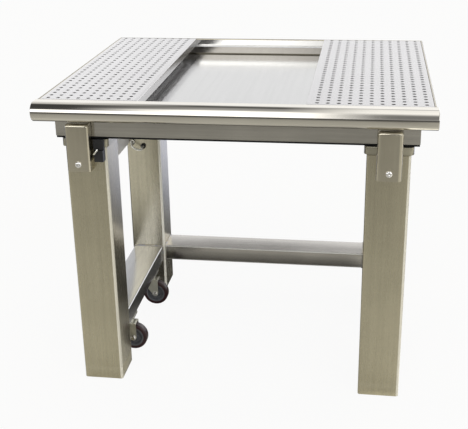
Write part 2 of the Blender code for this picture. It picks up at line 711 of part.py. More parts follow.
def build_panel(side, width, platform):
    """Perforated panel with its edges folded down, lying inside the frame on the rim of the tray."""
    name = "perforated_panel_" + side
    sign = SIDES[side]
    front = POCKET_FRONT_Y
    rear = POCKET_REAR_Y - PANEL_SEAM
    depth = rear - front
    middle = (sign * (POCKET_X - PANEL_SEAM - width / 2), (front + rear) / 2, PANEL_BOTTOM)
    half_x = width / 2
    half_y = depth / 2
    mesh = box_mesh(name, (-half_x, -half_y, 0.0), (half_x, half_y, PANEL_SKIRT))
    panel = add_part(name, mesh, "perforated_stainless", middle, platform)
    inner_x = half_x - PANEL_SHEET
    inner_y = half_y - PANEL_SHEET
    ceiling = PANEL_SKIRT - PANEL_SHEET
    cut(panel, box_mesh(name + "_hollow", (-inner_x, -inner_y, -OVERRUN), (inner_x, inner_y, ceiling)))
    punches = bmesh.new()
    for across, along in hole_places(width, depth, sign):
        shape = Matrix.Translation((across, along, PANEL_SKIRT - PANEL_SHEET / 2))
        bmesh.ops.create_cone(punches, cap_ends=True, segments=HOLE_SIDES, radius1=HOLE_DIAMETER / 2,
                              radius2=HOLE_DIAMETER / 2, depth=PANEL_SHEET + OVERRUN, matrix=shape)
    cut(panel, finish_mesh(punches, name + "_punches"))
    return panel


def build_deck(platform):
    """Core of apron walls and cross ribs, and the plate on it that carries the frame and the tray."""
    half_x = DECK_WIDTH / 2
    half_y = DECK_DEPTH / 2
    mesh = box_mesh("core_deck", (-half_x, -half_y, DECK_BOTTOM), (half_x, half_y, CORE_TOP))
    core = add_part("core_deck", mesh, "brushed_stainless", parent=platform)
    pockets = bmesh.new()
    pocket_x = (DECK_WIDTH - 2 * DECK_WALL - (POCKETS_ACROSS - 1) * RIB_THICKNESS) / POCKETS_ACROSS
    pocket_y = (DECK_DEPTH - 2 * DECK_WALL - (POCKETS_DEEP - 1) * RIB_THICKNESS) / POCKETS_DEEP
    for column in range(POCKETS_ACROSS):
        for row in range(POCKETS_DEEP):
            low_x = DECK_WALL - half_x + column * (pocket_x + RIB_THICKNESS)
            low_y = DECK_WALL - half_y + row * (pocket_y + RIB_THICKNESS)
            add_box(pockets, (low_x, low_y, DECK_BOTTOM - OVERRUN),
                    (low_x + pocket_x, low_y + pocket_y, CORE_TOP + OVERRUN))
    cut(core, finish_mesh(pockets, "deck_pockets"))
    low = (-WELL_X - DECK_LAP, WELL_FRONT_Y - DECK_LAP, CORE_TOP + GAP)
    high = (WELL_X + DECK_LAP, WELL_REAR_Y + DECK_LAP, DECK_TOP)
    add_part("deck_plate", box_mesh("deck_plate", low, high), "brushed_stainless", parent=platform)


def build_base_sheet(platform):
    """Black damping sheet that closes the deck from below."""
    half_x = DECK_WIDTH / 2 - BASE_INSET
    half_y = DECK_DEPTH / 2 - BASE_INSET
    mesh = box_mesh("base_sheet", (-half_x, -half_y, BASE_BOTTOM), (half_x, half_y, BASE_TOP))
    add_part("base_sheet", mesh, "black_sheet", parent=platform)


def build_valve(side, end):
    """Levelling valve on a leg, with the plunger that feels the height of the platform."""
    name = "level_valve_" + end + "_" + side
    sign_x = SIDES[side]
    sign_y = ENDS[end]
    face_y = sign_y * LEG_SPAN_Y / 2
    middle_x = sign_x * (LEG_X - VALVE_OFFSET)
    top = CAP_BOTTOM - VALVE_TOP_DROP
    near = sign_y * GAP
    far = sign_y * (GAP + VALVE_DEPTH)
    low = (-VALVE_WIDTH / 2, min(near, far), -VALVE_HEIGHT)
    high = (VALVE_WIDTH / 2, max(near, far), 0.0)
    body = add_part(name, box_mesh(name, low, high), "black_valve", (middle_x, face_y, top))
    barb = cylinder_mesh(name + "_barb", BARB_DIAMETER / 2, -BARB_LENGTH / 2, BARB_LENGTH / 2, 8)
    tilt = Matrix.Rotation(-sign_x * BARB_TILT, 4, "Y")
    join(body, barb, Matrix.Translation((sign_x * BARB_SHIFT, far, -BARB_DROP)) @ tilt)
    axis_y = sign_y * PLUNGER_INSET
    well = cylinder_mesh(name + "_well", PLUNGER_DIAMETER / 2 + RUNNING_GAP, -PLUNGER_WELL, OVERRUN, ROUND_STEPS)
    cut(body, well, Matrix.Translation((0.0, axis_y, 0.0)))

    head_top = BASE_BOTTOM - GAP - top
    half_width = PLUNGER_HEAD_WIDTH / 2
    half_depth = PLUNGER_HEAD_DEPTH / 2
    plunger_name = "valve_plunger_" + end + "_" + side
    head = box_mesh(plunger_name, (-half_width, -half_depth, PLUNGER_HEAD_GAP), (half_width, half_depth, head_top))
    plunger = add_part(plunger_name, head, "black_valve", (middle_x, face_y + axis_y, top))
    toe_end = -sign_y * (half_depth + PLUNGER_TOE_REACH)
    toe_low = (-PLUNGER_TOE_WIDTH / 2, min(0.0, toe_end), head_top - PLUNGER_TOE)
    toe_high = (PLUNGER_TOE_WIDTH / 2, max(0.0, toe_end), head_top)
    join(plunger, box_mesh(plunger_name + "_toe", toe_low, toe_high))
    rod_top = PLUNGER_HEAD_GAP + OVERRUN
    join(plunger, cylinder_mesh(plunger_name + "_rod", PLUNGER_DIAMETER / 2, -PLUNGER_ENGAGEMENT, rod_top,
                                ROUND_STEPS))


def build_air_line():
    """Short air line that leaves the rear left leg through a gland and goes back into it through another."""
    face_y = LEG_Y - LEG_WIDTH / 2
    route = [
        (0.0, LEG_WALL, 0.0),
        (0.0, -LINE_REACH / 2, 0.0),
        (0.0, -LINE_REACH, -LINE_SAG),
        (-LINE_RUN / 2, -LINE_REACH, -LINE_SAG),
        (-LINE_RUN, -LINE_REACH, LINE_RISE - LINE_SAG),
        (-LINE_RUN, -LINE_REACH / 2, LINE_RISE),
        (-LINE_RUN, LEG_WALL, LINE_RISE),
    ]
    curve = bpy.data.curves.new("air_line", "CURVE")
    curve.dimensions = "3D"
    curve.bevel_depth = LINE_DIAMETER / 2
    curve.bevel_resolution = 2
    curve.resolution_u = 4
    curve.use_fill_caps = True
    spline = curve.splines.new("NURBS")
    spline.points.add(len(route) - 1)
    for point, place in zip(spline.points, route):
        point.co = (*place, 1.0)
    spline.order_u = 3
    spline.use_endpoint_u = True
    line = add_part("air_line_rear_left", curve_mesh("air_line_rear_left", curve), "clear_line",
                    (-LEG_X, face_y, LINE_HEIGHT))
    for across, up in ((0.0, 0.0), (-LINE_RUN, LINE_RISE)):
        gland = cylinder_mesh("air_line_gland", GLAND_DIAMETER / 2, GAP, GAP + GLAND_THICKNESS, ROUND_STEPS)
        join(line, gland, Matrix.Translation((across, 0.0, up)) @ Matrix.Rotation(pi / 2, 4, "X"))
    smooth(line, 50.0)


def build_lift_plate(side, end, lift):
    """Plate that carries a caster, with a post that slides up into the side beam."""
    name = "caster_lift_plate_" + end + "_" + side
    plate_top = BEAM_UNDERSIDE - GAP
    across = BEAM_WIDTH / 2
    along = LIFT_PLATE_WIDTH / 2
    mesh = box_mesh(name, (-across, -along, -LIFT_PLATE), (across, along, 0.0))
    plate = add_part(name, mesh, "zinc_steel", (SIDES[side] * LEG_X, CASTER_Y[end], plate_top), lift)
    join(plate, cylinder_mesh(name + "_post", LIFT_POST_DIAMETER / 2, -LIFT_PLATE / 2, LIFT_POST_HEIGHT, ROUND_STEPS))
    place = Matrix.Translation((-SIDES[side] * CASTER_INSET, 0.0, 0.0))
    cut(plate, cylinder_mesh(name + "_bore", KINGPIN_DIAMETER / 2 + RUNNING_GAP, -LIFT_PLATE - OVERRUN, OVERRUN,
                             ROUND_STEPS), place)
    cut(plate, cylinder_mesh(name + "_recess", KINGPIN_HEAD / 2 + RUNNING_GAP, -KINGPIN_SINK, OVERRUN,
                             ROUND_STEPS), place)
    return plate


def build_fork(name, swivel, place):
    """Swivel fork with its kingpin. Its local origin is on the kingpin, at the height of the axle."""
    plate_low = WHEEL_DIAMETER / 2 + FORK_TOP_CLEARANCE
    plate_high = plate_low + FORK_SHEET
    inner = WHEEL_WIDTH / 2 + FORK_CLEARANCE
    outer = inner + FORK_SHEET
    foot = FORK_FOOT / 2
    front = CASTER_TRAIL + foot
    cheek = [(CASTER_TRAIL - foot, 0.0)]
    cheek += arc((CASTER_TRAIL, 0.0), foot, pi, 2 * pi, 6)[1:]
    cheek += [(front, plate_high), (-FORK_BACK, plate_high)]
    mesh = outline_mesh(name, cheek, 2 * outer)
    stand = Matrix.Rotation(pi / 2, 4, "X")
    mesh.transform(stand)
    fork = add_part(name, mesh, "zinc_steel", place, swivel)
    reach = FORK_BACK + front
    cut(fork, box_mesh(name + "_slot", (-reach, -inner, -reach), (reach, inner, plate_low)))
    bore = cylinder_mesh(name + "_axle_bore", AXLE_DIAMETER / 2 + RUNNING_GAP, -outer - OVERRUN, outer + OVERRUN,
                         ROUND_STEPS)
    cut(fork, bore, Matrix.Translation((CASTER_TRAIL, 0.0, 0.0)) @ stand)
    pin = KINGPIN_DIAMETER / 2
    seat = BEAM_UNDERSIDE - GAP - LIFT_PLATE - GAP - place[2]
    head_high = seat + LIFT_PLATE
    head_low = head_high + 2 * GAP - KINGPIN_SINK
    profile = [
        (0.0, head_high),
        (KINGPIN_HEAD / 2, head_high),
        (KINGPIN_HEAD / 2, head_low),
        (pin, head_low),
        (pin, seat),
        (KINGPIN_COLLAR / 2, seat),
        (KINGPIN_COLLAR / 2, plate_high - FORK_SHEET / 2),
        (0.0, plate_high - FORK_SHEET / 2),
    ]
    join(fork, turned_object(name + "_kingpin", profile, 12))
    smooth(fork)
    return fork


def build_wheel(name_end, wheel, place):
    """Hub, tread and axle bolt of one caster, turned about the Y axis."""
    half = WHEEL_WIDTH / 2
    outer = WHEEL_DIAMETER / 2
    inner = outer - TREAD_THICKNESS
    shoulder = half - TREAD_ROUNDING
    tread = turned_object("caster_tread_" + name_end, [
        (outer, shoulder),
        (outer, -shoulder),
        (outer - TREAD_ROUNDING, -half),
        (inner, -half),
        (inner, half),
        (outer - TREAD_ROUNDING, half),
    ], WHEEL_STEPS)
    rim = inner - GAP
    bore = AXLE_DIAMETER / 2 + RUNNING_GAP
    web = half - HUB_RECESS
    hub = turned_object("caster_hub_" + name_end, [
        (rim, half),
        (rim, -half),
        (rim - HUB_RIM, -half),
        (rim - HUB_RIM - HUB_RECESS / 2, -web),
        (HUB_BOSS / 2, -web),
        (HUB_BOSS / 2, -half),
        (bore, -half),
        (bore, half),
        (HUB_BOSS / 2, half),
        (HUB_BOSS / 2, web),
        (rim - HUB_RIM - HUB_RECESS / 2, web),
        (rim - HUB_RIM, half),
    ], WHEEL_STEPS)
    for item, finish in ((tread, "tread_maroon"), (hub, "wheel_grey")):
        PARTS.objects.link(item)
        item.data.materials.append(make_material(item.name + "_finish", finish))
        attach(item, wheel, place)
        item.rotation_euler = (pi / 2, 0.0, 0.0)
        smooth(item)


def build_axle(name_end, swivel, place):
    """Axle bolt through the fork, with a head on each side."""
    cheek = WHEEL_WIDTH / 2 + FORK_CLEARANCE + FORK_SHEET + GAP
    pin = AXLE_DIAMETER / 2
    head = AXLE_HEAD / 2
    end = cheek + AXLE_HEAD_HEIGHT
    axle = turned_object("caster_axle_" + name_end, [
        (0.0, end),
        (head, end),
        (head, cheek),
        (pin, cheek),
        (pin, -cheek),
        (head, -cheek),
        (head, -end),
        (0.0, -end),
    ], 12)
    PARTS.objects.link(axle)
    axle.data.materials.append(make_material(axle.name + "_finish", "zinc_steel"))
    attach(axle, swivel, place)
    axle.rotation_euler = (pi / 2, 0.0, 0.0)
    smooth(axle)


def build_caster(side, end):
    """One retractable caster under a side beam."""
    sign = SIDES[side]
    along = CASTER_Y[end]
    kingpin_x = sign * (LEG_X - CASTER_INSET)
    axle_x = kingpin_x + CASTER_TRAIL
    axle_z = WHEEL_LIFT + WHEEL_DIAMETER / 2
    name_end = end + "_" + side
    lift = add_pivot("caster_lift_axis_" + name_end, (sign * LEG_X, along, BEAM_UNDERSIDE))
    swivel = add_pivot("caster_swivel_axis_" + name_end, (kingpin_x, along, axle_z), lift)
    axle_place = (axle_x, along, axle_z)
    wheel = add_pivot("caster_wheel_axis_" + name_end, axle_place, swivel)
    build_lift_plate(side, end, lift)
    build_fork("caster_fork_" + name_end, swivel, (kingpin_x, along, axle_z))
    build_axle(name_end, swivel, axle_place)
    build_wheel(name_end, wheel, axle_place)


def build_platform():
    """Everything that floats on the isolators."""
    platform = add_pivot("platform_float_axis", (0.0, 0.0, BASE_BOTTOM))
    for side in SIDES:
        for end in ENDS:
            build_piston(side, end, platform)
    build_base_sheet(platform)
    build_deck(platform)
    build_frame(platform)
    build_tray(platform)
    build_bar(platform)
    build_panel("left", LEFT_PANEL_WIDTH, platform)
    build_panel("right", RIGHT_PANEL_WIDTH, platform)


def build_table():
    """The whole table."""
    for side in SIDES:
        for end in ENDS:
            build_leg(side, end)
            build_diaphragm(side, end)
            build_cap(side, end)
            build_caster(side, end)
        build_bracket(side)
        build_bolt(side)
    build_beams()
    build_side_panels()
    build_platform()
    build_valve("left", "front")
    build_valve("left", "rear")
    build_valve("right", "rear")
    build_air_line()


build_table()
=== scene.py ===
import json
from math import cos, floor, pi, radians, sin

import bmesh
import bpy
from mathutils import Matrix, Vector

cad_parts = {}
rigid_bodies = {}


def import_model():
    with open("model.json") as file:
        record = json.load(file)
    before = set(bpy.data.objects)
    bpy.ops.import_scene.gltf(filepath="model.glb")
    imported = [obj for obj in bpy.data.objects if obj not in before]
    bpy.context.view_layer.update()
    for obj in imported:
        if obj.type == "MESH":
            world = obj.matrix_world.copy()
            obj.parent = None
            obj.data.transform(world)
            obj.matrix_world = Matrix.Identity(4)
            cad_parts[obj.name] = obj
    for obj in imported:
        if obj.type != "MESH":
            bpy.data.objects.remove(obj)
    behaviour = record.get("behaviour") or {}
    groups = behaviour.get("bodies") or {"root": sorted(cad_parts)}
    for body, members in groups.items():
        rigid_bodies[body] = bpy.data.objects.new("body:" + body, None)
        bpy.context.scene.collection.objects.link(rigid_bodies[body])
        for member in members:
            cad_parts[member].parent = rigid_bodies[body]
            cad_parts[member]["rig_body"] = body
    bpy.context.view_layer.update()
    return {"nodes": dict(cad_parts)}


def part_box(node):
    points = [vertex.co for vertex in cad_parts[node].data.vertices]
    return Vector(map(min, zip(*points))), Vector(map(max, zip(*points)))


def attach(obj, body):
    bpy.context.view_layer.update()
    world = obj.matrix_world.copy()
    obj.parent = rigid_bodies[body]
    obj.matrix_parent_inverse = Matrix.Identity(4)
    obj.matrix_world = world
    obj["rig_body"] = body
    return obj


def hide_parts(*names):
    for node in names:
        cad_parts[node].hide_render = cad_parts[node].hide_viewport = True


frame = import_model()
NODES = frame["nodes"]
SIDES = ("left", "right")
ENDS = {"front": -1, "rear": 1}
CORNERS = [(end, side) for side in SIDES for end in ENDS]
VALVE_CORNERS = (("front", "left"), ("rear", "left"), ("rear", "right"))

# Sizes in metres

HOLE_PITCH_X = 0.0242
HOLE_PITCH_Y = 0.0240
HOLE_RADIUS = 0.00475
HOLE_STEPS = 20
FIRST_COLUMN = 0.0158           # from the panel's outer edge
LAST_COLUMN = 0.018             # least distance to the inner edge
FIRST_ROW = 0.0147
LAST_ROW = 0.007
PANEL_SHEET = 0.0018
PANEL_BEND = 0.0012
PANEL_BEND_STEPS = 3
SAME_PLACE = 1e-7
BAR_STEPS = 56
BAR_BACK_DEPTH = 0.0033
BAR_STEP_DROP = 0.0012
BAR_END_ROUND = 0.0024
TRAY_SHEET = 0.0014
TRAY_WALL_LOW = (-0.4372, -0.3402)
TRAY_WALL_HIGH = (0.4372, 0.3787)
TRAY_FLOOR_RISE = 0.0015
TRAY_CORNER = 0.004
TRAY_RIM_CORNER = 0.0006
TRAY_RIM_BEND = 0.0015
TRAY_FLOOR_BEND = 0.0045
TRAY_STEPS = 5
RAIL_ROUND = 0.0030
LEG_CORNER = 0.006
LEG_INNER_CORNER = 0.0015
LEG_WALL = 0.0045
LEG_STEPS = 8
LEG_SEAM = 0.034                # height of the ground seam above the floor
LEG_SEAM_GROOVE = 0.00016       # how deep the seam is
LEG_SEAM_HALF = 0.0008          # half its width at the face
LEG_SEAM_BOTTOM = 0.0003        # and at its bottom
LEG_FOOT_ROUND = 0.0012
LEG_TOP_ROUND = 0.0006
LEG_FOOT_PLATE = 0.008
BEAM_CORNER = 0.0038
BEAM_INNER_CORNER = 0.001
BEAM_WALL = 0.003
BEAM_STEPS = 6
WELD_RADIUS = 0.0022
WELD_PITCH = 0.0034             # from ripple to ripple
WELD_STEPS = 4                  # places along each ripple
WELD_SIDES = 6
WELD_OFFSET = 0.0004
WELD_CORNER = 0.0044
WELD_CORNER_STEPS = 4
BRACKET_ROUND = 0.0078
SOCKET_RADIUS = 0.0030
SOCKET_DEPTH = 0.0030
SOCKET_CHAMFER = 0.0003
BOLT_HEAD_DEPTH = 0.0045
BOLT_SHANK_RADIUS = 0.004
BOLT_STEPS = 48
BOLT_DOME_STEPS = 8
VALVE_REACH = 0.0203            # from the leg's face to the root of the hose barb
GLAND_REACH = 0.0045
TREAD_THICKNESS = 0.0095
TREAD_SHOULDER = 0.0050
TREAD_CROWN = 0.0035
TREAD_EDGE = 0.0050             # from the rolling face to the flat of the side
TREAD_STEPS = 72
SHOULDER_STEPS = 6
HUB_STEPS = 60
AXLE_RADIUS = 0.005
AXLE_STEPS = 32
WASHER_RADIUS = 0.0075
WASHER_THICKNESS = 0.0010
WASHER_STEPS = 36
NUT_RADIUS = 0.0070
NUT_HEIGHT = 0.0045             # with its washer

# Light, as levels along a coordinate or round the table

FLOOR_GLOW = 0.93
# Painted light on the floor as reflections see it: a painted shadow under the table, from y 0 to 0.5, and
# lighter bands in front and behind.
FLOOR_FADE = ((-8.0, 0.15), (-4.0, 0.40), (-2.6, 0.66), (-1.4, 0.84), (-0.8, 1.0), (-0.4, 1.28), (-0.1, 0.98),
              (0.0, 0.50), (0.12, 0.18), (0.5, 0.22), (0.75, 0.52), (1.1, 0.95), (1.6, 1.45), (3.0, 1.5))
FLOOR_SIDES = ((-3.0, 1.0), (-0.2, 1.0), (0.5, 0.94), (0.75, 1.5), (3.0, 1.5))
FLOOR_PATCH = 2.4               # light added round the right legs, as a share of the floor's level there
PATCH_LEFT = (0.27, 0.36)       # the patch rises over these places and falls over the next ones
PATCH_RIGHT = (0.46, 0.60)
PATCH_FRONT = (-0.34, -0.24)
PATCH_REAR = (0.30, 0.50)
BEHIND_START = 0.4
BEHIND_END = 1.0
GLOSSY_GLOW = 0.10              # the floor's own light as reflections see it
FLOOR_COLOUR = (0.63, 0.615, 0.545)
FLOOR_BEHIND = (0.86, 0.92, 1.25)
STUDIO_LEVEL = 2.5
TO_MIDDLE = (-0.31, -0.18)      # directions between which one column of the studio turns into the next
TO_RIGHT = (-0.09, 0.01)
TO_FAR_RIGHT = (0.12, 0.35)
STUDIO_LEFT = ((0.0, 0.04), (4.0, 0.06), (8.0, 1.0), (33.0, 1.0), (42.0, 0.05), (62.0, 0.03), (104.0, 0.03),
               (118.0, 0.25), (130.0, 0.44), (150.0, 0.36), (158.0, 0.40), (164.0, 0.53), (180.0, 0.53))
STUDIO_MIDDLE = ((0.0, 0.07), (4.0, 0.10), (8.0, 1.0), (58.0, 1.0), (72.0, 0.40), (84.0, 0.20), (100.0, 0.18),
                 (112.0, 0.10), (122.0, 0.04), (132.0, 0.05), (142.0, 0.16), (154.0, 0.22), (158.0, 0.30),
                 (163.0, 0.52), (167.0, 0.47), (180.0, 0.47))
STUDIO_RIGHT = ((0.0, 0.03), (4.0, 0.04), (8.0, 0.16), (13.0, 0.17), (19.0, 0.12), (46.0, 0.11), (58.0, 0.18),
                (70.0, 0.44), (80.0, 0.62), (130.0, 0.56), (150.0, 0.26), (158.0, 0.34), (163.0, 0.56),
                (167.0, 0.47), (180.0, 0.47))
STUDIO_FAR_RIGHT = ((0.0, 0.05), (4.0, 0.08), (10.0, 0.80), (60.0, 0.80), (75.0, 0.20), (110.0, 0.10),
                    (135.0, 0.50), (158.0, 0.80), (180.0, 0.80))

# Camera, solved from the hole grid, the legs and the beams

CAMERA_LENS = 70.2818
CAMERA_SHIFT_X = 0.00219
CAMERA_SHIFT_Y = -0.00057
CAMERA_PLACE = (0.306431, -2.335249, 1.290755)
CAMERA_RIGHT = (0.989147, 0.145854, -0.017717)
CAMERA_UP = (-0.037681, 0.368375, 0.928913)
CAMERA_BACK = (0.142012, -0.918165, 0.369874)

# Directions and white

ALONG_X = (1, 0, 0)
ALONG_Y = (0, 1, 0)
ALONG_Z = (0, 0, 1)
WHITE = (1.0, 1.0, 1.0)


# Materials

def new_material(name):
    material = bpy.data.materials.new(name)
    material.use_nodes = True
    tree = material.node_tree
    return material, tree, tree.nodes["Principled BSDF"]


def object_noise(tree, scale, stretch=(1.0, 1.0, 1.0), detail=3.0, rough=0.5, shift=(0.0, 0.0, 0.0)):
    """Noise in object space, with its own stretch along each axis."""
    coords = tree.nodes.new("ShaderNodeTexCoord")
    mapping = tree.nodes.new("ShaderNodeMapping")
    mapping.inputs["Scale"].default_value = stretch
    mapping.inputs["Location"].default_value = shift
    noise = tree.nodes.new("ShaderNodeTexNoise")
    noise.inputs["Scale"].default_value = scale
    noise.inputs["Detail"].default_value = detail
    noise.inputs["Roughness"].default_value = rough
    tree.links.new(coords.outputs["Object"], mapping.inputs["Vector"])
    tree.links.new(mapping.outputs["Vector"], noise.inputs["Vector"])
    return noise.outputs["Fac"]


def ramp(tree, factor, stops):
    """Colour ramp over a factor. Stops are (position, colour)."""
    node = tree.nodes.new("ShaderNodeValToRGB")
    elements = node.color_ramp.elements
    while len(elements) < len(stops):
        elements.new(0.5)
    for element, (position, colour) in zip(elements, stops):
        element.position = position
        element.color = (*colour, 1.0)
    tree.links.new(factor, node.inputs["Fac"])
    return node.outputs["Color"]


def math_node(tree, operation, first, second=None, third=None):
    node = tree.nodes.new("ShaderNodeMath")
    node.operation = operation
    for socket, value in zip(node.inputs, (first, second, third)):
        if value is None:
            continue
        if isinstance(value, (int, float)):
            socket.default_value = value
        else:
            tree.links.new(value, socket)
    return node.outputs["Value"]


def mix_colours(tree, factor, first, second, mode="MIX"):
    node = tree.nodes.new("ShaderNodeMix")
    node.data_type = "RGBA"
    node.blend_type = mode
    for name, value in (("Factor", factor), ("A", first), ("B", second)):
        socket = node.inputs[name]
        if isinstance(value, (int, float)):
            socket.default_value = value
        elif isinstance(value, tuple):
            socket.default_value = (*value, 1.0)
        else:
            tree.links.new(value, socket)
    return node.outputs["Result"]


def map_range(tree, value, low, high, new_low, new_high):
    node = tree.nodes.new("ShaderNodeMapRange")
    node.inputs["From Min"].default_value = low
    node.inputs["From Max"].default_value = high
    node.inputs["To Min"].default_value = new_low
    node.inputs["To Max"].default_value = new_high
    tree.links.new(value, node.inputs["Value"])
    return node.outputs["Result"]


def add_bump(tree, shader, height, strength, distance, normal=None):
    bump = tree.nodes.new("ShaderNodeBump")
    bump.inputs["Strength"].default_value = strength
    bump.inputs["Distance"].default_value = distance
    tree.links.new(height, bump.inputs["Height"])
    if normal is not None:
        tree.links.new(normal, bump.inputs["Normal"])
    if shader is not None:
        tree.links.new(bump.outputs["Normal"], shader.inputs["Normal"])
    return bump.outputs["Normal"]


def edge_wear(tree):
    """1 on raised edges, 0 on flats."""
    geometry = tree.nodes.new("ShaderNodeNewGeometry")
    return map_range(tree, geometry.outputs["Pointiness"], 0.5, 0.62, 0.0, 1.0)


def steel(name, colour, roughness, grain, grain_depth, tint, dirt, wave=0.0, metallic=1.0):
    """Brushed or polished stainless steel. The grain runs along the given axis.

    tint is how far light and dark clouds depart from the colour, dirt how dark the streaks get, and wave the
    depth of slow waves in the sheet.
    """
    material, tree, shader = new_material(name)
    shader.inputs["Metallic"].default_value = metallic
    across = tuple(1.0 if part < 0.5 else 0.02 for part in grain)
    fine = object_noise(tree, 1400.0, across, 2.0, 0.6)
    coarse = object_noise(tree, 120.0, across, 3.0, 0.55, (3.1, 1.7, 0.4))
    cloud = object_noise(tree, 4.5, detail=4.0, rough=0.6, shift=(0.3, 2.2, 5.0))
    light = tuple(min(1.0, part * (1.0 + tint)) for part in colour)
    dark = tuple(part * (1.0 - tint) for part in colour)
    base = ramp(tree, cloud, ((0.30, dark), (0.52, colour), (0.72, light)))
    streak = ramp(tree, coarse, ((0.25, (1.0 - dirt,) * 3), (0.60, WHITE)))
    base = mix_colours(tree, 1.0, base, streak, "MULTIPLY")
    tree.links.new(base, shader.inputs["Base Color"])
    spread = math_node(tree, "MULTIPLY_ADD", fine, 0.10, roughness - 0.05)
    smudge = math_node(tree, "MULTIPLY_ADD", cloud, 0.10, -0.05)
    total = math_node(tree, "ADD", spread, smudge)
    total = math_node(tree, "MAXIMUM", total, 0.03)
    tree.links.new(total, shader.inputs["Roughness"])
    normal = None
    if wave > 0.0:
        swell = object_noise(tree, 7.0, detail=1.0, rough=0.4, shift=(1.0, 7.0, 2.0))
        normal = add_bump(tree, None, swell, 1.0, wave)
    add_bump(tree, shader, fine, 0.35, grain_depth, normal)
    return material


def plain(name, colour, roughness, scale, depth, mottle, specular, wear=0.0):
    """Moulded plastic or rubber, or painted sheet, with a fine skin and slight mottling."""
    material, tree, shader = new_material(name)
    shader.inputs["Specular IOR Level"].default_value = specular
    fine = object_noise(tree, scale, rough=0.6)
    cloud = object_noise(tree, 40.0, detail=4.0, rough=0.6, shift=(2.0, 0.5, 1.0))
    light = tuple(min(1.0, part * (1.0 + mottle) + 0.004) for part in colour)
    dark = tuple(part * (1.0 - mottle) for part in colour)
    base = ramp(tree, cloud, ((0.32, dark), (0.68, light)))
    if wear > 0.0:
        rubbed = tuple(min(1.0, part * 1.8 + 0.05) for part in colour)
        edges = math_node(tree, "MULTIPLY", edge_wear(tree), wear)
        base = mix_colours(tree, edges, base, rubbed)
    tree.links.new(base, shader.inputs["Base Color"])
    tree.links.new(math_node(tree, "MULTIPLY_ADD", cloud, 0.16, roughness - 0.08), shader.inputs["Roughness"])
    add_bump(tree, shader, fine, 0.4, depth)
    return material


def pale_tube(name, colour):
    """Pale, cloudy polyurethane tube."""
    material, tree, shader = new_material(name)
    shader.inputs["Specular IOR Level"].default_value = 0.25
    cloud = object_noise(tree, 90.0)
    light = tuple(min(1.0, part * 1.08) for part in colour)
    dark = tuple(part * 0.9 for part in colour)
    tree.links.new(ramp(tree, cloud, ((0.3, dark), (0.7, light))), shader.inputs["Base Color"])
    tree.links.new(math_node(tree, "MULTIPLY_ADD", cloud, 0.12, 0.34), shader.inputs["Roughness"])
    return material


def weld_steel(name):
    """Weld bead: bright ripples with straw and blue heat tint in places."""
    material, tree, shader = new_material(name)
    shader.inputs["Metallic"].default_value = 1.0
    cloud = object_noise(tree, 60.0, rough=0.6)
    base = ramp(tree, cloud, ((0.30, (0.34, 0.30, 0.24)), (0.50, (0.52, 0.49, 0.43)),
                              (0.66, (0.36, 0.36, 0.40)), (0.80, (0.62, 0.60, 0.56))))
    tree.links.new(base, shader.inputs["Base Color"])
    fine = object_noise(tree, 900.0)
    tree.links.new(math_node(tree, "MULTIPLY_ADD", fine, 0.2, 0.22), shader.inputs["Roughness"])
    add_bump(tree, shader, fine, 0.5, 0.00008)
    return material


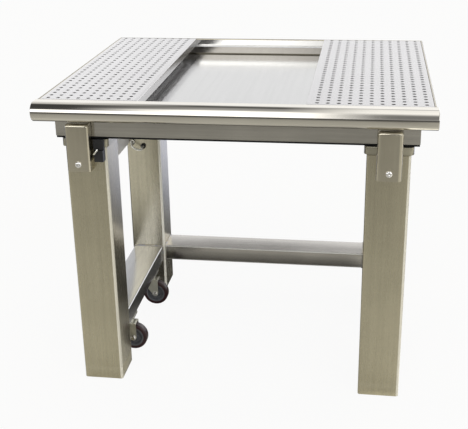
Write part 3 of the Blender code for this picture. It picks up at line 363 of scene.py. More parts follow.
MATERIALS = {
    "leg": steel("leg_satin", (0.50, 0.462, 0.350), 0.27, ALONG_Z, 0.00003, 0.07, 0.10, 0.0004),
    # Painted light: the rear legs take a lighter copy of the front legs' steel.
    "leg_rear": steel("leg_rear_satin_painted_light", (0.62, 0.585, 0.475), 0.27, ALONG_Z, 0.00003, 0.08, 0.12, 0.0004),
    # Painted highlight on the leg corners that face +X, front and rear.
    "leg_corner": steel("leg_corner_painted_highlight", (0.70, 0.67, 0.57), 0.28, ALONG_Z, 0.00002, 0.04, 0.04,
                        metallic=0.15),
    "leg_rear_corner": steel("leg_rear_corner_painted_highlight", (0.97, 0.95, 0.86), 0.30, ALONG_Z, 0.00002, 0.04, 0.04,
                             metallic=0.0),
    # Painted highlight along the corners of the beam along X.
    "beam_corner": steel("beam_corner_painted_highlight", (0.60, 0.585, 0.55), 0.30, ALONG_X, 0.00002, 0.06, 0.06,
                         metallic=0.4),
    "beam_x": steel("beam_satin_x", (0.53, 0.51, 0.48), 0.20, ALONG_X, 0.00003, 0.14, 0.12, 0.0006),
    "beam_y": steel("beam_satin_y", (0.48, 0.482, 0.488), 0.20, ALONG_Y, 0.00003, 0.12, 0.12, 0.0006),
    # Painted light: the side panels take a near-white, partly matte copy of the steel, so they render
    # lighter.
    "side": steel("side_satin_painted_light", (0.88, 0.875, 0.91), 0.34, ALONG_Y, 0.00003, 0.05, 0.05, 0.0005, 0.20),
    "cap": steel("cap_satin", (0.42, 0.395, 0.315), 0.30, ALONG_X, 0.00004, 0.22, 0.18),
    "bracket": steel("bracket_satin", (0.53, 0.493, 0.40), 0.22, ALONG_Z, 0.00003, 0.08, 0.08, 0.0003),
    "apron": steel("apron_satin", (0.535, 0.515, 0.475), 0.20, ALONG_X, 0.00003, 0.12, 0.20, 0.0005),
    "bar": steel("bar_polished", (0.64, 0.612, 0.555), 0.06, ALONG_X, 0.000008, 0.05, 0.06, 0.0004),
    "frame": steel("frame_polished", (0.82, 0.81, 0.78), 0.12, ALONG_X, 0.00001, 0.05, 0.06, 0.0003),
    # Painted shade on the frame's rounded edges, darker than the polished frame.
    "frame_edge": steel("frame_edge_painted_shade", (0.40, 0.37, 0.30), 0.16, ALONG_X, 0.00001, 0.05, 0.06),
    # Painted shade: a dark band in the crease between the tray's walls and floor.
    "tray_bend": steel("tray_bend_painted_shade", (0.13, 0.118, 0.09), 0.30, ALONG_X, 0.00002, 0.10, 0.10),
    "tray": steel("tray_polished", (0.505, 0.505, 0.505), 0.15, ALONG_Y, 0.00001, 0.04, 0.05, 0.0002),
    # Painted shade: the tray's walls take a darker, warmer copy of its floor steel.
    "tray_wall": steel("tray_wall_polished_painted_shade", (0.375, 0.355, 0.32), 0.12, ALONG_Z, 0.00001, 0.06, 0.06,
                       0.0002),
    "panel": steel("panel_satin", (0.60, 0.592, 0.60), 0.24, ALONG_Y, 0.00002, 0.03, 0.04, 0.0003),
    # Painted shade: the panels' folded flanges take a darker copy of the panel steel.
    "fold": steel("fold_satin_painted_shade", (0.42, 0.415, 0.42), 0.24, ALONG_Y, 0.00002, 0.03, 0.04, 0.0003),
    # Painted light: the panels' undersides take a pale matte copy of the panel steel, so they catch light.
    "panel_under": steel("panel_underside_painted_light", (0.80, 0.79, 0.78), 0.5, ALONG_Y, 0.00002, 0.03, 0.04,
                         metallic=0.0),
    "bolt": steel("bolt_bright", (0.82, 0.81, 0.80), 0.14, ALONG_Z, 0.00001, 0.05, 0.04),
    "zinc": steel("zinc_plate", (0.74, 0.73, 0.65), 0.36, ALONG_Z, 0.00003, 0.14, 0.18),
    "rod": steel("rod_bright", (0.74, 0.73, 0.70), 0.16, ALONG_Z, 0.00001, 0.05, 0.05),
    "weld": weld_steel("weld_bead"),
    "sheet": plain("black_sheet", (0.006, 0.006, 0.006), 0.70, 500.0, 0.00004, 0.2, 0.12),
    "rubber": plain("black_rubber", (0.016, 0.016, 0.015), 0.55, 700.0, 0.00004, 0.2, 0.35, 0.3),
    "valve": plain("black_valve", (0.007, 0.007, 0.008), 0.42, 500.0, 0.00003, 0.2, 0.3, 0.3),
    "hub": plain("hub_grey", (0.078, 0.081, 0.090), 0.42, 500.0, 0.00003, 0.12, 0.4, 0.3),
    "tread": plain("tread_maroon", (0.024, 0.0042, 0.006), 0.30, 400.0, 0.00003, 0.15, 0.5, 0.1),
    "line": pale_tube("pale_line", (0.93, 0.92, 0.86)),
}


# Mesh tools

def finish_piece(name, work, materials, body, nodes=(), smooth=35.0, bevel=0.0, bevel_angle=40.0,
                 segments=2):
    """Turn a bmesh into a dressed piece that rides on a body and may stand for CAD nodes.

    A face's material index counts along the materials. Edges sharper than the smooth angle stay crisp.
    """
    bmesh.ops.recalc_face_normals(work, faces=work.faces)
    mesh = bpy.data.meshes.new(name)
    work.to_mesh(mesh)
    work.free()
    piece = bpy.data.objects.new(name, mesh)
    bpy.context.scene.collection.objects.link(piece)
    for material in materials:
        mesh.materials.append(MATERIALS[material])
    mesh.shade_smooth()
    mesh.set_sharp_from_angle(angle=radians(smooth))
    if bevel > 0.0:
        modifier = piece.modifiers.new("bevel", "BEVEL")
        modifier.width = bevel
        modifier.segments = segments
        modifier.limit_method = "ANGLE"
        modifier.angle_limit = radians(bevel_angle)
        modifier.harden_normals = True
    if nodes:
        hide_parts(*nodes)
    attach(piece, body)
    return piece


def rounded_rectangle(low, high, radius, steps):
    """Points of a rounded rectangle, counter-clockwise."""
    points = []
    middles = ((high[0] - radius, high[1] - radius, 0.0), (low[0] + radius, high[1] - radius, pi / 2),
               (low[0] + radius, low[1] + radius, pi), (high[0] - radius, low[1] + radius, 3 * pi / 2))
    for across, along, start in middles:
        for index in range(steps + 1):
            turn = start + pi / 2 * index / steps
            points.append((across + radius * cos(turn), along + radius * sin(turn)))
    return points


def inset_rectangle(low, high, inset, radius, steps):
    """Rounded rectangle that lies inside a box's outline by the inset, or outside it if that is negative."""
    inner_low = (low[0] + inset, low[1] + inset)
    inner_high = (high[0] - inset, high[1] - inset)
    return rounded_rectangle(inner_low, inner_high, radius, steps)


def loft(work, rings, close_first=True, cyclic=False):
    """Skin between rings of as many points each. It runs round, or ends in a face at its last ring.

    close_first puts such a face at its first ring too.
    """
    loops = [[work.verts.new(point) for point in ring] for ring in rings]
    pairs = list(zip(loops, loops[1:]))
    if cyclic:
        pairs.append((loops[-1], loops[0]))
    for first, second in pairs:
        count = len(first)
        for index in range(count):
            after = (index + 1) % count
            work.faces.new((first[index], first[after], second[after], second[index]))
    if cyclic:
        return
    if close_first:
        work.faces.new(list(reversed(loops[0])))
    work.faces.new(loops[-1])


def flat_ring(points, height):
    return [(across, along, height) for across, along in points]


def turned_point(radius, step, steps, height):
    turn = 2 * pi * step / steps
    return Vector((radius * cos(turn), radius * sin(turn), height))


def turned(work, profile, steps, shape, closed=True):
    """Revolve (radius, height) points about Z, then place them. A radius of zero makes a pole."""
    rings = []
    for radius, height in profile:
        if radius <= 0.0:
            rings.append([work.verts.new(shape @ Vector((0.0, 0.0, height)))])
        else:
            rings.append([work.verts.new(shape @ turned_point(radius, step, steps, height))
                          for step in range(steps)])
    pairs = list(zip(rings, rings[1:]))
    if closed:
        pairs.append((rings[-1], rings[0]))
    for first, second in pairs:
        for step in range(steps):
            after = (step + 1) % steps
            if len(first) == 1:
                work.faces.new((first[0], second[step], second[after]))
            elif len(second) == 1:
                work.faces.new((first[step], first[after], second[0]))
            else:
                work.faces.new((first[step], first[after], second[after], second[step]))


def closed_tube(work, points, radii, sides):
    """Tube along points that close on themselves, with a radius at each."""
    count = len(points)
    side = None
    rings = []
    for index, (point, radius) in enumerate(zip(points, radii)):
        ahead = points[(index + 1) % count] - points[index - 1]
        ahead.normalize()
        if side is None:
            side = ahead.cross(Vector(ALONG_Z))
            if side.length < 0.1:
                side = ahead.cross(Vector(ALONG_X))
        side = (side - ahead * side.dot(ahead)).normalized()
        up = ahead.cross(side)
        turns = [2 * pi * step / sides for step in range(sides)]
        rings.append([point + radius * (cos(turn) * side + sin(turn) * up) for turn in turns])
    loft(work, rings, cyclic=True)


def dressed(node, materials, bevel, smooth=35.0, segments=2, angle=30.0, rounds=None, tests=()):
    """A CAD node's own shape with its flat faces merged and its edges rounded.

    rounds gives the share of the bevel that an edge takes. tests pick the faces of the second material, the
    third and so on.
    """
    source = NODES[node]
    work = bmesh.new()
    work.from_mesh(source.data)
    bmesh.ops.remove_doubles(work, verts=work.verts, dist=0.00001)
    bmesh.ops.dissolve_limit(work, angle_limit=radians(0.6), verts=work.verts, edges=work.edges)
    for index, test in enumerate(tests):
        for face in work.faces:
            if test(face.calc_center_median()):
                face.material_index = index + 1
    if rounds is not None:
        weights = work.edges.layers.float.new("bevel_weight_edge")
        for edge in work.edges:
            if edge.is_manifold and edge.calc_face_angle() > radians(angle):
                edge[weights] = rounds(edge)
    piece = finish_piece(node + "_dressed", work, materials, source["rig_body"], (node,), smooth, bevel,
                         angle, segments)
    if rounds is not None:
        piece.modifiers["bevel"].limit_method = "WEIGHT"
        piece.modifiers["bevel"].use_clamp_overlap = False
    return piece


# Platform

def mark_rims_sharp(mesh):
    """Keep the rims of holes and of a sheet crisp once it has its thickness."""
    work = bmesh.new()
    work.from_mesh(mesh)
    for edge in work.edges:
        if edge.is_boundary:
            edge.smooth = False
    work.to_mesh(mesh)
    work.free()


def shade_flats(piece):
    """Let the broad faces of a polished piece mirror flat, and only its bends bend the picture."""
    flats = piece.modifiers.new("flats", "WEIGHTED_NORMAL")
    flats.keep_sharp = True


def hole_columns(low, high, outer_low):
    """Across places of a panel's hole columns, counted from its outer edge."""
    count = floor((high - low - FIRST_COLUMN - LAST_COLUMN) / HOLE_PITCH_X) + 1
    if outer_low:
        return [low + FIRST_COLUMN + index * HOLE_PITCH_X for index in range(count)]
    return sorted(high - FIRST_COLUMN - index * HOLE_PITCH_X for index in range(count))


def hole_rows(low, high):
    """Places of a panel's hole rows, counted from its front edge."""
    count = floor((high - low - FIRST_ROW - LAST_ROW) / HOLE_PITCH_Y) + 1
    return [low + FIRST_ROW + index * HOLE_PITCH_Y for index in range(count)]


def pushed_out(place, low, high, out):
    """A place moved outwards if it is at either end of a run."""
    if abs(place - low) < SAME_PLACE:
        return place - out
    if abs(place - high) < SAME_PLACE:
        return place + out
    return place


def build_panel(side):
    """Perforated panel with round punched holes and folded edges."""
    node = "perforated_panel_" + side
    low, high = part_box(node)
    top = high[2]
    columns = hole_columns(low[0], high[0], side == "left")
    rows = hole_rows(low[1], high[1])
    least = PANEL_BEND + 0.0004
    across = [low[0] + PANEL_BEND, columns[0] - HOLE_PITCH_X / 2]
    across += [column + HOLE_PITCH_X / 2 for column in columns] + [high[0] - PANEL_BEND]
    along = [low[1] + PANEL_BEND, max(rows[0] - HOLE_PITCH_Y / 2, low[1] + least)]
    along += [min(row + HOLE_PITCH_Y / 2, high[1] - least) for row in rows] + [high[1] - PANEL_BEND]
    last_across = len(across) - 1
    last_along = len(along) - 1
    quarter = HOLE_STEPS // 4
    work = bmesh.new()
    cache = {}

    def corner(i, j):
        if (i, j) not in cache:
            cache[(i, j)] = work.verts.new((across[i], along[j], top))
        return cache[(i, j)]

    for i in range(last_across):
        for j in range(last_along):
            square = (corner(i, j), corner(i + 1, j), corner(i + 1, j + 1), corner(i, j + 1))
            if not (1 <= i <= len(columns) and 1 <= j <= len(rows)):
                work.faces.new(square)
                continue
            ring = []
            for step in range(HOLE_STEPS):
                turn = 2 * pi * step / HOLE_STEPS - 3 * pi / 4
                place = (columns[i - 1] + HOLE_RADIUS * cos(turn), rows[j - 1] + HOLE_RADIUS * sin(turn), top)
                ring.append(work.verts.new(place))
            for part in range(4):
                arc = [ring[(part * quarter + step) % HOLE_STEPS] for step in range(quarter + 1)]
                work.faces.new([square[part], square[(part + 1) % 4]] + list(reversed(arc)))
    border = [corner(i, 0) for i in range(last_across + 1)]
    border += [corner(last_across, j) for j in range(1, last_along + 1)]
    border += [corner(i, last_along) for i in range(last_across - 1, -1, -1)]
    border += [corner(0, j) for j in range(last_along - 1, 0, -1)]
    levels = []
    for step in range(1, PANEL_BEND_STEPS + 1):
        turn = pi / 2 * step / PANEL_BEND_STEPS
        levels.append((PANEL_BEND * sin(turn), PANEL_BEND * (1 - cos(turn))))
    levels.append((PANEL_BEND, high[2] - low[2]))
    previous = border
    for out, drop in levels:
        ring = []
        for vert in border:
            ring.append(work.verts.new((pushed_out(vert.co.x, across[0], across[-1], out),
                                        pushed_out(vert.co.y, along[0], along[-1], out), top - drop)))
        for index in range(len(ring)):
            after = (index + 1) % len(ring)
            face = work.faces.new((previous[index], ring[index], ring[after], previous[after]))
            # Flanges take the darker fold material: painted shade.
            face.material_index = 1 if drop > PANEL_BEND else 0
        previous = ring
    piece = finish_piece(node + "_punched", work, ("panel", "fold", "panel_under"), "platform",
                         (node,), 20.0)
    mark_rims_sharp(piece.data)
    shell = piece.modifiers.new("sheet", "SOLIDIFY")
    shell.thickness = PANEL_SHEET
    # The underside takes the pale matte copy: painted light.
    shell.material_offset = 2
    shell.offset = -1.0
    shell.use_even_offset = False


def build_bar():
    """Round nosed front bar, polished, with softened ends."""
    low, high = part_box("front_bar")
    radius = (high[2] - low[2]) / 2
    middle = (low[1] + radius, low[2] + radius)
    back = high[1]
    back_low = back - BAR_BACK_DEPTH
    step_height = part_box("recess_tray")[1][2] - BAR_STEP_DROP
    turns = [pi / 2 + pi * step / BAR_STEPS for step in range(BAR_STEPS + 1)]
    outline = [(middle[0] + radius * cos(turn), middle[1] + radius * sin(turn)) for turn in turns]
    outline += [(back_low, low[2]), (back_low, step_height), (back, step_height), (back, high[2])]
    work = bmesh.new()
    loft(work, [[(end, along, height) for along, height in outline] for end in (low[0], high[0])])
    finish_piece("front_bar_polished", work, ("bar",), "platform", ("front_bar",), 30.0,
                 BAR_END_ROUND, 50.0, 4)


def build_tray():
    """Tray of thin sheet: rim on the ledges, walls with small bends, flat floor."""
    low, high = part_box("recess_tray")
    rim = high[2]
    base = low[2] + TRAY_FLOOR_RISE

    def wall_ring(inset, height):
        outline = inset_rectangle(TRAY_WALL_LOW, TRAY_WALL_HIGH, inset, TRAY_CORNER, TRAY_STEPS)
        return flat_ring(outline, height)

    rings = [flat_ring(rounded_rectangle(low[:2], high[:2], TRAY_RIM_CORNER, TRAY_STEPS), rim)]
    for step in range(4):
        turn = pi / 2 * step / 3
        rings.append(wall_ring(-TRAY_RIM_BEND * (1 - sin(turn)), rim - TRAY_RIM_BEND * (1 - cos(turn))))
    for step in range(5):
        turn = pi / 2 * step / 4
        rings.append(wall_ring(TRAY_FLOOR_BEND * (1 - cos(turn)), base + TRAY_FLOOR_BEND * (1 - sin(turn))))
    work = bmesh.new()
    loft(work, rings, close_first=False)
    for face in work.faces:
        height = face.calc_center_median().z
        # Walls take the darker tray_wall copy: painted shade.
        if base + TRAY_FLOOR_BEND < height < rim - TRAY_RIM_BEND:
            face.material_index = 1
        # Floor bends take the dark tray_bend band: painted shade in the crease.
        elif base + 0.0001 < height < base + TRAY_FLOOR_BEND:
            face.material_index = 2
    piece = finish_piece("recess_tray_polished", work, ("tray", "tray_wall", "tray_bend"), "platform",
                         ("recess_tray",), 25.0)
    shell = piece.modifiers.new("sheet", "SOLIDIFY")
    shell.thickness = TRAY_SHEET
    shell.offset = 1.0
    shade_flats(piece)


def top_edge_share(node, other):
    """Share of the bevel for each edge: all of it round the top, and the other share elsewhere."""
    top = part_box(node)[1][2] - 0.0001

    def share(edge):
        return 1.0 if all(vert.co.z > top for vert in edge.verts) else other

    return share


def build_frame():
    """Frame whose rails are rounded along the top; the rounded edges carry a darker painted shade."""
    share = top_edge_share("top_frame", 0.25)
    piece = dressed("top_frame", ("frame", "frame_edge"), RAIL_ROUND, 30.0, 5, rounds=share)
    # The rounds take the darker frame_edge material: painted shade.
    piece.modifiers["bevel"].material = 1
    shade_flats(piece)


def build_platform():
    for side in SIDES:
        build_panel(side)
    build_bar()
    build_tray()
    build_frame()
    dressed("core_deck", ("apron",), 0.0008)
    dressed("deck_plate", ("apron",), 0.0004)
    dressed("base_sheet", ("sheet",), 0.0008)
    for end, side in CORNERS:
        dressed("isolator_piston_" + end + "_" + side, ("zinc",), 0.0006)


# Legs, beams and side panels

def build_leg(end, side):
    """Square tube leg: a seam ground flush, a closed base, and a painted highlight on the corners towards +X.
    """
    node = "leg_" + end + "_" + side
    low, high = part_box(node)
    levels = [(LEG_FOOT_ROUND, 0.0), (LEG_FOOT_ROUND / 3, LEG_FOOT_ROUND / 3), (0.0, LEG_FOOT_ROUND),
              (0.0, LEG_SEAM - LEG_SEAM_HALF), (LEG_SEAM_GROOVE, LEG_SEAM - LEG_SEAM_BOTTOM),
              (LEG_SEAM_GROOVE, LEG_SEAM + LEG_SEAM_BOTTOM), (0.0, LEG_SEAM + LEG_SEAM_HALF),
              (0.0, high[2] - LEG_TOP_ROUND), (LEG_TOP_ROUND, high[2])]
    rings = [flat_ring(inset_rectangle(low, high, inset, LEG_CORNER - inset, LEG_STEPS), height)
             for inset, height in levels]
    inner = inset_rectangle(low, high, LEG_WALL, LEG_INNER_CORNER, LEG_STEPS)
    rings += [flat_ring(inner, height) for height in (high[2], LEG_FOOT_PLATE)]
    work = bmesh.new()
    loft(work, rings)
    work.normal_update()
    # Corners facing +X take the corner material: a painted highlight.
    for face in work.faces:
        if face.normal.x > 0.05 and abs(face.normal.y) > 0.05:
            face.material_index = 1
    materials = ("leg", "leg_corner") if end == "front" else ("leg_rear", "leg_rear_corner")
    finish_piece(node + "_tube", work, materials, "frame", (node,), 40.0)


def beam_section(low, high, along_x):
    """Low and high corner of a beam's box, seen along the beam."""
    across = 1 if along_x else 0
    return (low[across], low[2]), (high[across], high[2])


def beam_ring(points, place, along_x):
    """Points of a beam's section, set at a place along it."""
    if along_x:
        return [(place, first, second) for first, second in points]
    return [(first, place, second) for first, second in points]


def build_beam(name, along_x):
    """Rectangular tube with smooth corners; on a beam along X the corners carry a painted highlight."""
    low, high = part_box(name)
    section = beam_section(low, high, along_x)
    outer = inset_rectangle(*section, 0.0, BEAM_CORNER, BEAM_STEPS)
    inner = inset_rectangle(*section, BEAM_WALL, BEAM_INNER_CORNER, BEAM_STEPS)
    first, last = (low[0], high[0]) if along_x else (low[1], high[1])
    rings = [beam_ring(points, place, along_x)
             for points, place in ((outer, first), (outer, last), (inner, last), (inner, first))]
    work = bmesh.new()
    loft(work, rings, cyclic=True)
    work.normal_update()
    # On a beam along X the corners take the painted highlight material.
    if along_x:
        for face in work.faces:
            if min(abs(face.normal.y), abs(face.normal.z)) > 0.05:
                face.material_index = 1
    materials = ("beam_x", "beam_corner") if along_x else ("beam_y",)
    finish_piece(name + "_tube", work, materials, "frame", (name,), 40.0)


def weld_bead(name, points):
    """Ripples of a weld along a closed route."""
    route = [Vector(point) for point in points]
    places = []
    for first, second in zip(route, route[1:] + route[:1]):
        count = max(1, round((second - first).length / (WELD_PITCH / WELD_STEPS)))
        places += [first.lerp(second, index / count) for index in range(count)]
    radii = [WELD_RADIUS * (0.78 + 0.22 * abs(sin(pi * index / WELD_STEPS))) for index in range(len(places))]
    work = bmesh.new()
    closed_tube(work, places, radii, WELD_SIDES)
    finish_piece(name, work, ("weld",), "frame", smooth=60.0)


def build_beam_welds(beam, along_x, names):
    """A fillet weld round each end of a beam."""
    low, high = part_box(beam)
    axis = 0 if along_x else 1
    section = beam_section(low, high, along_x)
    ring = inset_rectangle(*section, -WELD_OFFSET, WELD_CORNER, WELD_CORNER_STEPS)
    for name, place in zip(names, (low[axis] + WELD_OFFSET, high[axis] - WELD_OFFSET)):
        weld_bead(name, beam_ring(ring, place, along_x))


def build_stand():
    for end, side in CORNERS:
        build_leg(end, side)
        dressed("isolator_cap_" + end + "_" + side, ("cap",), 0.0009)
        dressed("isolator_diaphragm_" + end + "_" + side, ("rubber",), 0.0003)
    for side in SIDES:
        build_beam("lower_beam_" + side, False)
    build_beam("lower_beam_rear", True)
    for side in SIDES:
        build_beam_welds("lower_beam_" + side, False, ["weld_beam_" + end + "_" + side for end in ENDS])
    build_beam_welds("lower_beam_rear", True, ["weld_rear_beam_" + side for side in SIDES])
    for side in SIDES:
        # Side panels take the near-white side material: painted light.
        dressed("side_panel_" + side, ("side",), 0.0006)


# Brackets, valves and air line

def build_brackets():
    """Folded covers: the outer edge round the top is bent softly, the others are crisp."""
    for side in SIDES:
        node = "restraint_bracket_" + side
        share = top_edge_share(node, 0.055)
        dressed(node, ("bracket",), BRACKET_ROUND, 35.0, 6, 25.0, share)
        build_bolt(side)


def build_bolt(side):
    """Button head bolt with a hexagon socket, its axis along Y."""
    node = "bracket_bolt_" + side
    low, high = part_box(node)
    middle = ((low[0] + high[0]) / 2, low[1], (low[2] + high[2]) / 2)
    head = (high[0] - low[0]) / 2
    turn_in = Matrix.Translation(middle) @ Matrix.Rotation(-pi / 2, 4, "X")

    def hexagon(radius, height):
        ring = []
        for step in range(BOLT_STEPS):
            turn = 2 * pi * step / BOLT_STEPS
            part = (turn + pi / 6) % (pi / 3) - pi / 6
            reach = radius * cos(pi / 6) / cos(part)
            ring.append(turn_in @ Vector((reach * cos(turn), reach * sin(turn), height)))
        return ring

    def circle(radius, height):
        return [turn_in @ turned_point(radius, step, BOLT_STEPS, height) for step in range(BOLT_STEPS)]

    mouth = SOCKET_RADIUS * 1.25
    rings = [hexagon(SOCKET_RADIUS, SOCKET_DEPTH), hexagon(SOCKET_RADIUS, SOCKET_CHAMFER), circle(mouth, 0.0)]
    for step in range(1, BOLT_DOME_STEPS + 1):
        turn = pi / 2 * step / BOLT_DOME_STEPS
        rings.append(circle(mouth + (head - mouth) * sin(turn), BOLT_HEAD_DEPTH * 0.9 * (1 - cos(turn))))
    rings.append(circle(head, BOLT_HEAD_DEPTH))
    rings.append(circle(BOLT_SHANK_RADIUS, BOLT_HEAD_DEPTH))
    rings.append(circle(BOLT_SHANK_RADIUS, high[1] - low[1]))
    work = bmesh.new()
    loft(work, rings)
    finish_piece(node + "_socket_head", work, ("bolt",), "frame", (node,))


def build_valves():
    """Levelling valves: black body and plunger, bright slanted barb for the air hose."""
    for end, side in VALVE_CORNERS:
        node = "level_valve_" + end + "_" + side
        outward = ENDS[end]
        leg_low, leg_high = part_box("leg_" + end + "_" + side)
        face = (leg_high[1] if end == "rear" else leg_low[1]) + outward * VALVE_REACH

        def on_barb(place):
            return outward * (place.y - face) > 0.0003

        dressed(node, ("valve", "rod"), 0.0009, tests=(on_barb,))
        dressed("valve_plunger_" + end + "_" + side, ("valve",), 0.0006)


def build_air_line():
    """Pale formed tube between a dark gland and a bright one."""
    node = "air_line_rear_left"
    low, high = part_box(node)
    middle = (low[0] + high[0]) / 2
    leg_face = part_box("leg_rear_left")[0][1]

    def on_gland(place):
        return leg_face - GLAND_REACH < place.y < leg_face + 0.0001

    def on_dark_gland(place):
        return on_gland(place) and place.x > middle

    def on_bright_gland(place):
        return on_gland(place) and place.x < middle

    dressed(node, ("line", "valve", "rod"), 0.0, 60.0, tests=(on_dark_gland, on_bright_gland))


# Casters

def caster_shape(node):
    """Radius, half width and placing of a caster's round piece, whose axis is along Y."""
    low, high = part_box(node)
    middle = Vector([(first + second) / 2 for first, second in zip(low, high)])
    shape = Matrix.Translation(middle) @ Matrix.Rotation(pi / 2, 4, "X")
    return (high[2] - low[2]) / 2, (high[1] - low[1]) / 2, shape


def mirrored(profile):
    """The same profile on the other side of the middle, run backwards."""
    return [(radius, -height) for radius, height in reversed(profile)]


def build_wheel(name):
    """Tread with rounded shoulders, hub with a recessed web and a bearing boss."""
    radius, half, shape = caster_shape("caster_tread_" + name)
    inner = radius - TREAD_THICKNESS
    profile = [(inner, half), (radius - TREAD_EDGE, half)]
    for step in range(SHOULDER_STEPS + 1):
        turn = pi / 2 * (1 - step / SHOULDER_STEPS)
        profile.append((radius - TREAD_CROWN + TREAD_CROWN * cos(turn),
                        half - TREAD_SHOULDER + TREAD_SHOULDER * sin(turn)))
    work = bmesh.new()
    turned(work, profile + [(radius, 0.0)] + mirrored(profile), TREAD_STEPS, shape)
    finish_piece("caster_tread_" + name + "_moulded", work, ("tread",), "wheel_" + name,
                 ("caster_tread_" + name,), 50.0)
    rim = inner - 0.0003
    profile = [(rim, half), (rim - 0.0035, half), (rim - 0.0050, half - 0.0012),
               (rim - 0.0062, half - 0.0050), (0.0150, half - 0.0058), (0.0125, half - 0.0050),
               (0.0115, half - 0.0006), (0.0108, half), (0.0056, half)]
    work = bmesh.new()
    turned(work, profile + mirrored(profile), HUB_STEPS, shape)
    finish_piece("caster_hub_" + name + "_moulded", work, ("hub",), "wheel_" + name,
                 ("caster_hub_" + name,))


def build_axle(name):
    """Axle bolt: a washer and a hexagon at each end."""
    half, shape = caster_shape("caster_axle_" + name)[1:]
    shaft = [(0.0, half - 0.001), (AXLE_RADIUS, half - 0.001)]
    work = bmesh.new()
    turned(work, shaft + mirrored(shaft), AXLE_STEPS, shape, closed=False)
    face = half - NUT_HEIGHT
    outer = face + WASHER_THICKNESS
    bore = AXLE_RADIUS - 0.0001
    for flip in (1, -1):
        washer = [(bore, face), (WASHER_RADIUS, face), (WASHER_RADIUS, outer), (bore, outer)]
        nut = [(0.0, outer), (NUT_RADIUS, outer), (NUT_RADIUS, half - 0.0006), (NUT_RADIUS - 0.0008, half),
               (0.0, half)]
        turned(work, [(radius, flip * height) for radius, height in washer], WASHER_STEPS, shape)
        turned(work, [(radius, flip * height) for radius, height in nut], 6, shape, closed=False)
    finish_piece("caster_axle_" + name + "_bolt", work, ("bolt",), "swivel_" + name,
                 ("caster_axle_" + name,), 30.0)


def build_casters():
    for end, side in CORNERS:
        name = end + "_" + side
        dressed("caster_lift_plate_" + name, ("zinc",), 0.0008)
        dressed("caster_fork_" + name, ("zinc",), 0.0006)
        build_wheel(name)
        build_axle(name)


build_platform()
build_stand()
build_brackets()
build_valves()
build_air_line()
build_casters()


# Floor, light and camera

def spread_ramp(tree, value, stops):
    """Level along a coordinate, from (place, level) stops. Levels may pass 1."""
    first = stops[0][0]
    last = stops[-1][0]
    peak = max(level for place, level in stops)
    share = map_range(tree, value, first, last, 0.0, 1.0)
    levels = [((place - first) / (last - first), (level / peak,) * 3) for place, level in stops]
    return math_node(tree, "MULTIPLY", ramp(tree, share, levels), peak)


def build_floor():
    """Pale floor. The camera sees it near white with the shadow. Reflections see painted light on it: a
    painted shadow under the table, a painted pool of light round the right legs, brighter to the right and
    behind, and fading with distance in front.
    """
    work = bmesh.new()
    bmesh.ops.create_grid(work, x_segments=1, y_segments=1, size=30.0)
    mesh = bpy.data.meshes.new("floor")
    work.to_mesh(mesh)
    work.free()
    floor_object = bpy.data.objects.new("floor", mesh)
    bpy.context.scene.collection.objects.link(floor_object)
    material = bpy.data.materials.new("floor_pale")
    material.use_nodes = True
    tree = material.node_tree
    tree.nodes.clear()
    output = tree.nodes.new("ShaderNodeOutputMaterial")
    light_path = tree.nodes.new("ShaderNodeLightPath")
    glossy = light_path.outputs["Is Glossy Ray"]
    coords = tree.nodes.new("ShaderNodeTexCoord")
    parts = tree.nodes.new("ShaderNodeSeparateXYZ")
    tree.links.new(coords.outputs["Object"], parts.inputs["Vector"])
    fade = spread_ramp(tree, parts.outputs["Y"], FLOOR_FADE)
    sides = spread_ramp(tree, parts.outputs["X"], FLOOR_SIDES)
    patch_left = map_range(tree, parts.outputs["X"], *PATCH_LEFT, 0.0, 1.0)
    patch_right = map_range(tree, parts.outputs["X"], *PATCH_RIGHT, 1.0, 0.0)
    patch_front = map_range(tree, parts.outputs["Y"], *PATCH_FRONT, 0.0, FLOOR_PATCH)
    patch_rear = map_range(tree, parts.outputs["Y"], *PATCH_REAR, 1.0, 0.0)
    patch = math_node(tree, "MULTIPLY", patch_left, patch_right)
    patch = math_node(tree, "MULTIPLY", patch, math_node(tree, "MULTIPLY", patch_front, patch_rear))
    patch = math_node(tree, "ADD", patch, 1.0)
    level = math_node(tree, "MULTIPLY", math_node(tree, "MULTIPLY", fade, sides), patch)
    behind = map_range(tree, parts.outputs["Y"], BEHIND_START, BEHIND_END, 0.0, 1.0)
    tinted = mix_colours(tree, 1.0, mix_colours(tree, behind, WHITE, FLOOR_BEHIND), level, "MULTIPLY")
    seen_level = mix_colours(tree, glossy, WHITE, tinted)
    diffuse = tree.nodes.new("ShaderNodeBsdfDiffuse")
    tree.links.new(mix_colours(tree, 1.0, FLOOR_COLOUR, seen_level, "MULTIPLY"), diffuse.inputs["Color"])
    glow = tree.nodes.new("ShaderNodeEmission")
    tree.links.new(seen_level, glow.inputs["Color"])
    glow.inputs["Strength"].default_value = 1.0
    camera_ray = light_path.outputs["Is Camera Ray"]
    shown = math_node(tree, "MAXIMUM", camera_ray, light_path.outputs["Is Transmission Ray"])
    share = math_node(tree, "MULTIPLY", shown, FLOOR_GLOW)
    share = math_node(tree, "MULTIPLY_ADD", glossy, GLOSSY_GLOW, share)
    share = math_node(tree, "MINIMUM", share, FLOOR_GLOW)
    mix = tree.nodes.new("ShaderNodeMixShader")
    tree.links.new(share, mix.inputs["Fac"])
    tree.links.new(diffuse.outputs["BSDF"], mix.inputs[1])
    tree.links.new(glow.outputs["Emission"], mix.inputs[2])
    tree.links.new(mix.outputs["Shader"], output.inputs["Surface"])
    mesh.materials.append(material)


def studio_profile(tree, turn, stops):
    """Brightness round the table from the front horizon (0 degrees) over the top to the rear one (180)."""
    share = math_node(tree, "DIVIDE", turn, pi)
    return ramp(tree, share, [(degrees / 180.0, (level,) * 3) for degrees, level in stops])


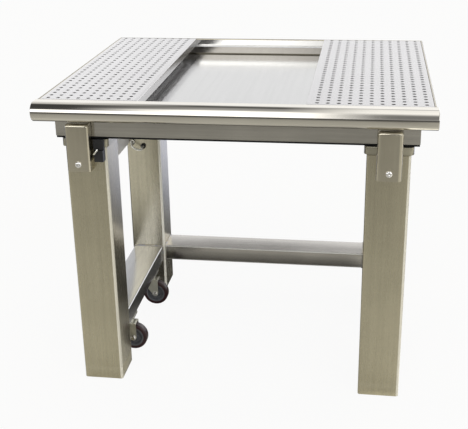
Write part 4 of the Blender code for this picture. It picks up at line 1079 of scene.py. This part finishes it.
def build_world():
    """White to the camera. Reflections see a studio: low soft box ahead, darker ceiling, lit wall behind."""
    world = bpy.data.worlds.new("studio")
    bpy.context.scene.world = world
    world.use_nodes = True
    tree = world.node_tree
    tree.nodes.clear()
    output = tree.nodes.new("ShaderNodeOutputWorld")
    coords = tree.nodes.new("ShaderNodeTexCoord")
    parts = tree.nodes.new("ShaderNodeSeparateXYZ")
    tree.links.new(coords.outputs["Generated"], parts.inputs["Vector"])
    ahead = math_node(tree, "MULTIPLY", parts.outputs["Y"], -1.0)
    turn = math_node(tree, "ARCTAN2", parts.outputs["Z"], ahead)
    left = studio_profile(tree, turn, STUDIO_LEFT)
    middle = studio_profile(tree, turn, STUDIO_MIDDLE)
    right = studio_profile(tree, turn, STUDIO_RIGHT)
    far_right = studio_profile(tree, turn, STUDIO_FAR_RIGHT)
    to_middle = map_range(tree, parts.outputs["X"], *TO_MIDDLE, 0.0, 1.0)
    to_right = map_range(tree, parts.outputs["X"], *TO_RIGHT, 0.0, 1.0)
    to_far_right = map_range(tree, parts.outputs["X"], *TO_FAR_RIGHT, 0.0, 1.0)
    colour = mix_colours(tree, to_right, mix_colours(tree, to_middle, left, middle), right)
    colour = mix_colours(tree, to_far_right, colour, far_right)
    studio = tree.nodes.new("ShaderNodeBackground")
    studio.inputs["Strength"].default_value = STUDIO_LEVEL
    tree.links.new(colour, studio.inputs["Color"])
    white = tree.nodes.new("ShaderNodeBackground")
    white.inputs["Color"].default_value = (1.0, 1.0, 1.0, 1.0)
    white.inputs["Strength"].default_value = 1.0
    light_path = tree.nodes.new("ShaderNodeLightPath")
    mix = tree.nodes.new("ShaderNodeMixShader")
    tree.links.new(light_path.outputs["Is Camera Ray"], mix.inputs["Fac"])
    tree.links.new(studio.outputs["Background"], mix.inputs[1])
    tree.links.new(white.outputs["Background"], mix.inputs[2])
    tree.links.new(mix.outputs["Shader"], output.inputs["Surface"])


def build_camera():
    """Camera where the photograph was taken."""
    data = bpy.data.cameras.new("camera")
    data.sensor_width = 36.0
    data.sensor_fit = "HORIZONTAL"
    data.lens = CAMERA_LENS
    data.shift_x = CAMERA_SHIFT_X
    data.shift_y = CAMERA_SHIFT_Y
    data.clip_end = 100.0
    camera = bpy.data.objects.new("camera", data)
    bpy.context.scene.collection.objects.link(camera)
    turn = Matrix((CAMERA_RIGHT, CAMERA_UP, CAMERA_BACK)).transposed()
    camera.matrix_world = Matrix.Translation(CAMERA_PLACE) @ turn.to_4x4()
    bpy.context.scene.camera = camera


build_floor()
build_world()
build_camera()
bpy.context.scene.view_settings.view_transform = "Standard"
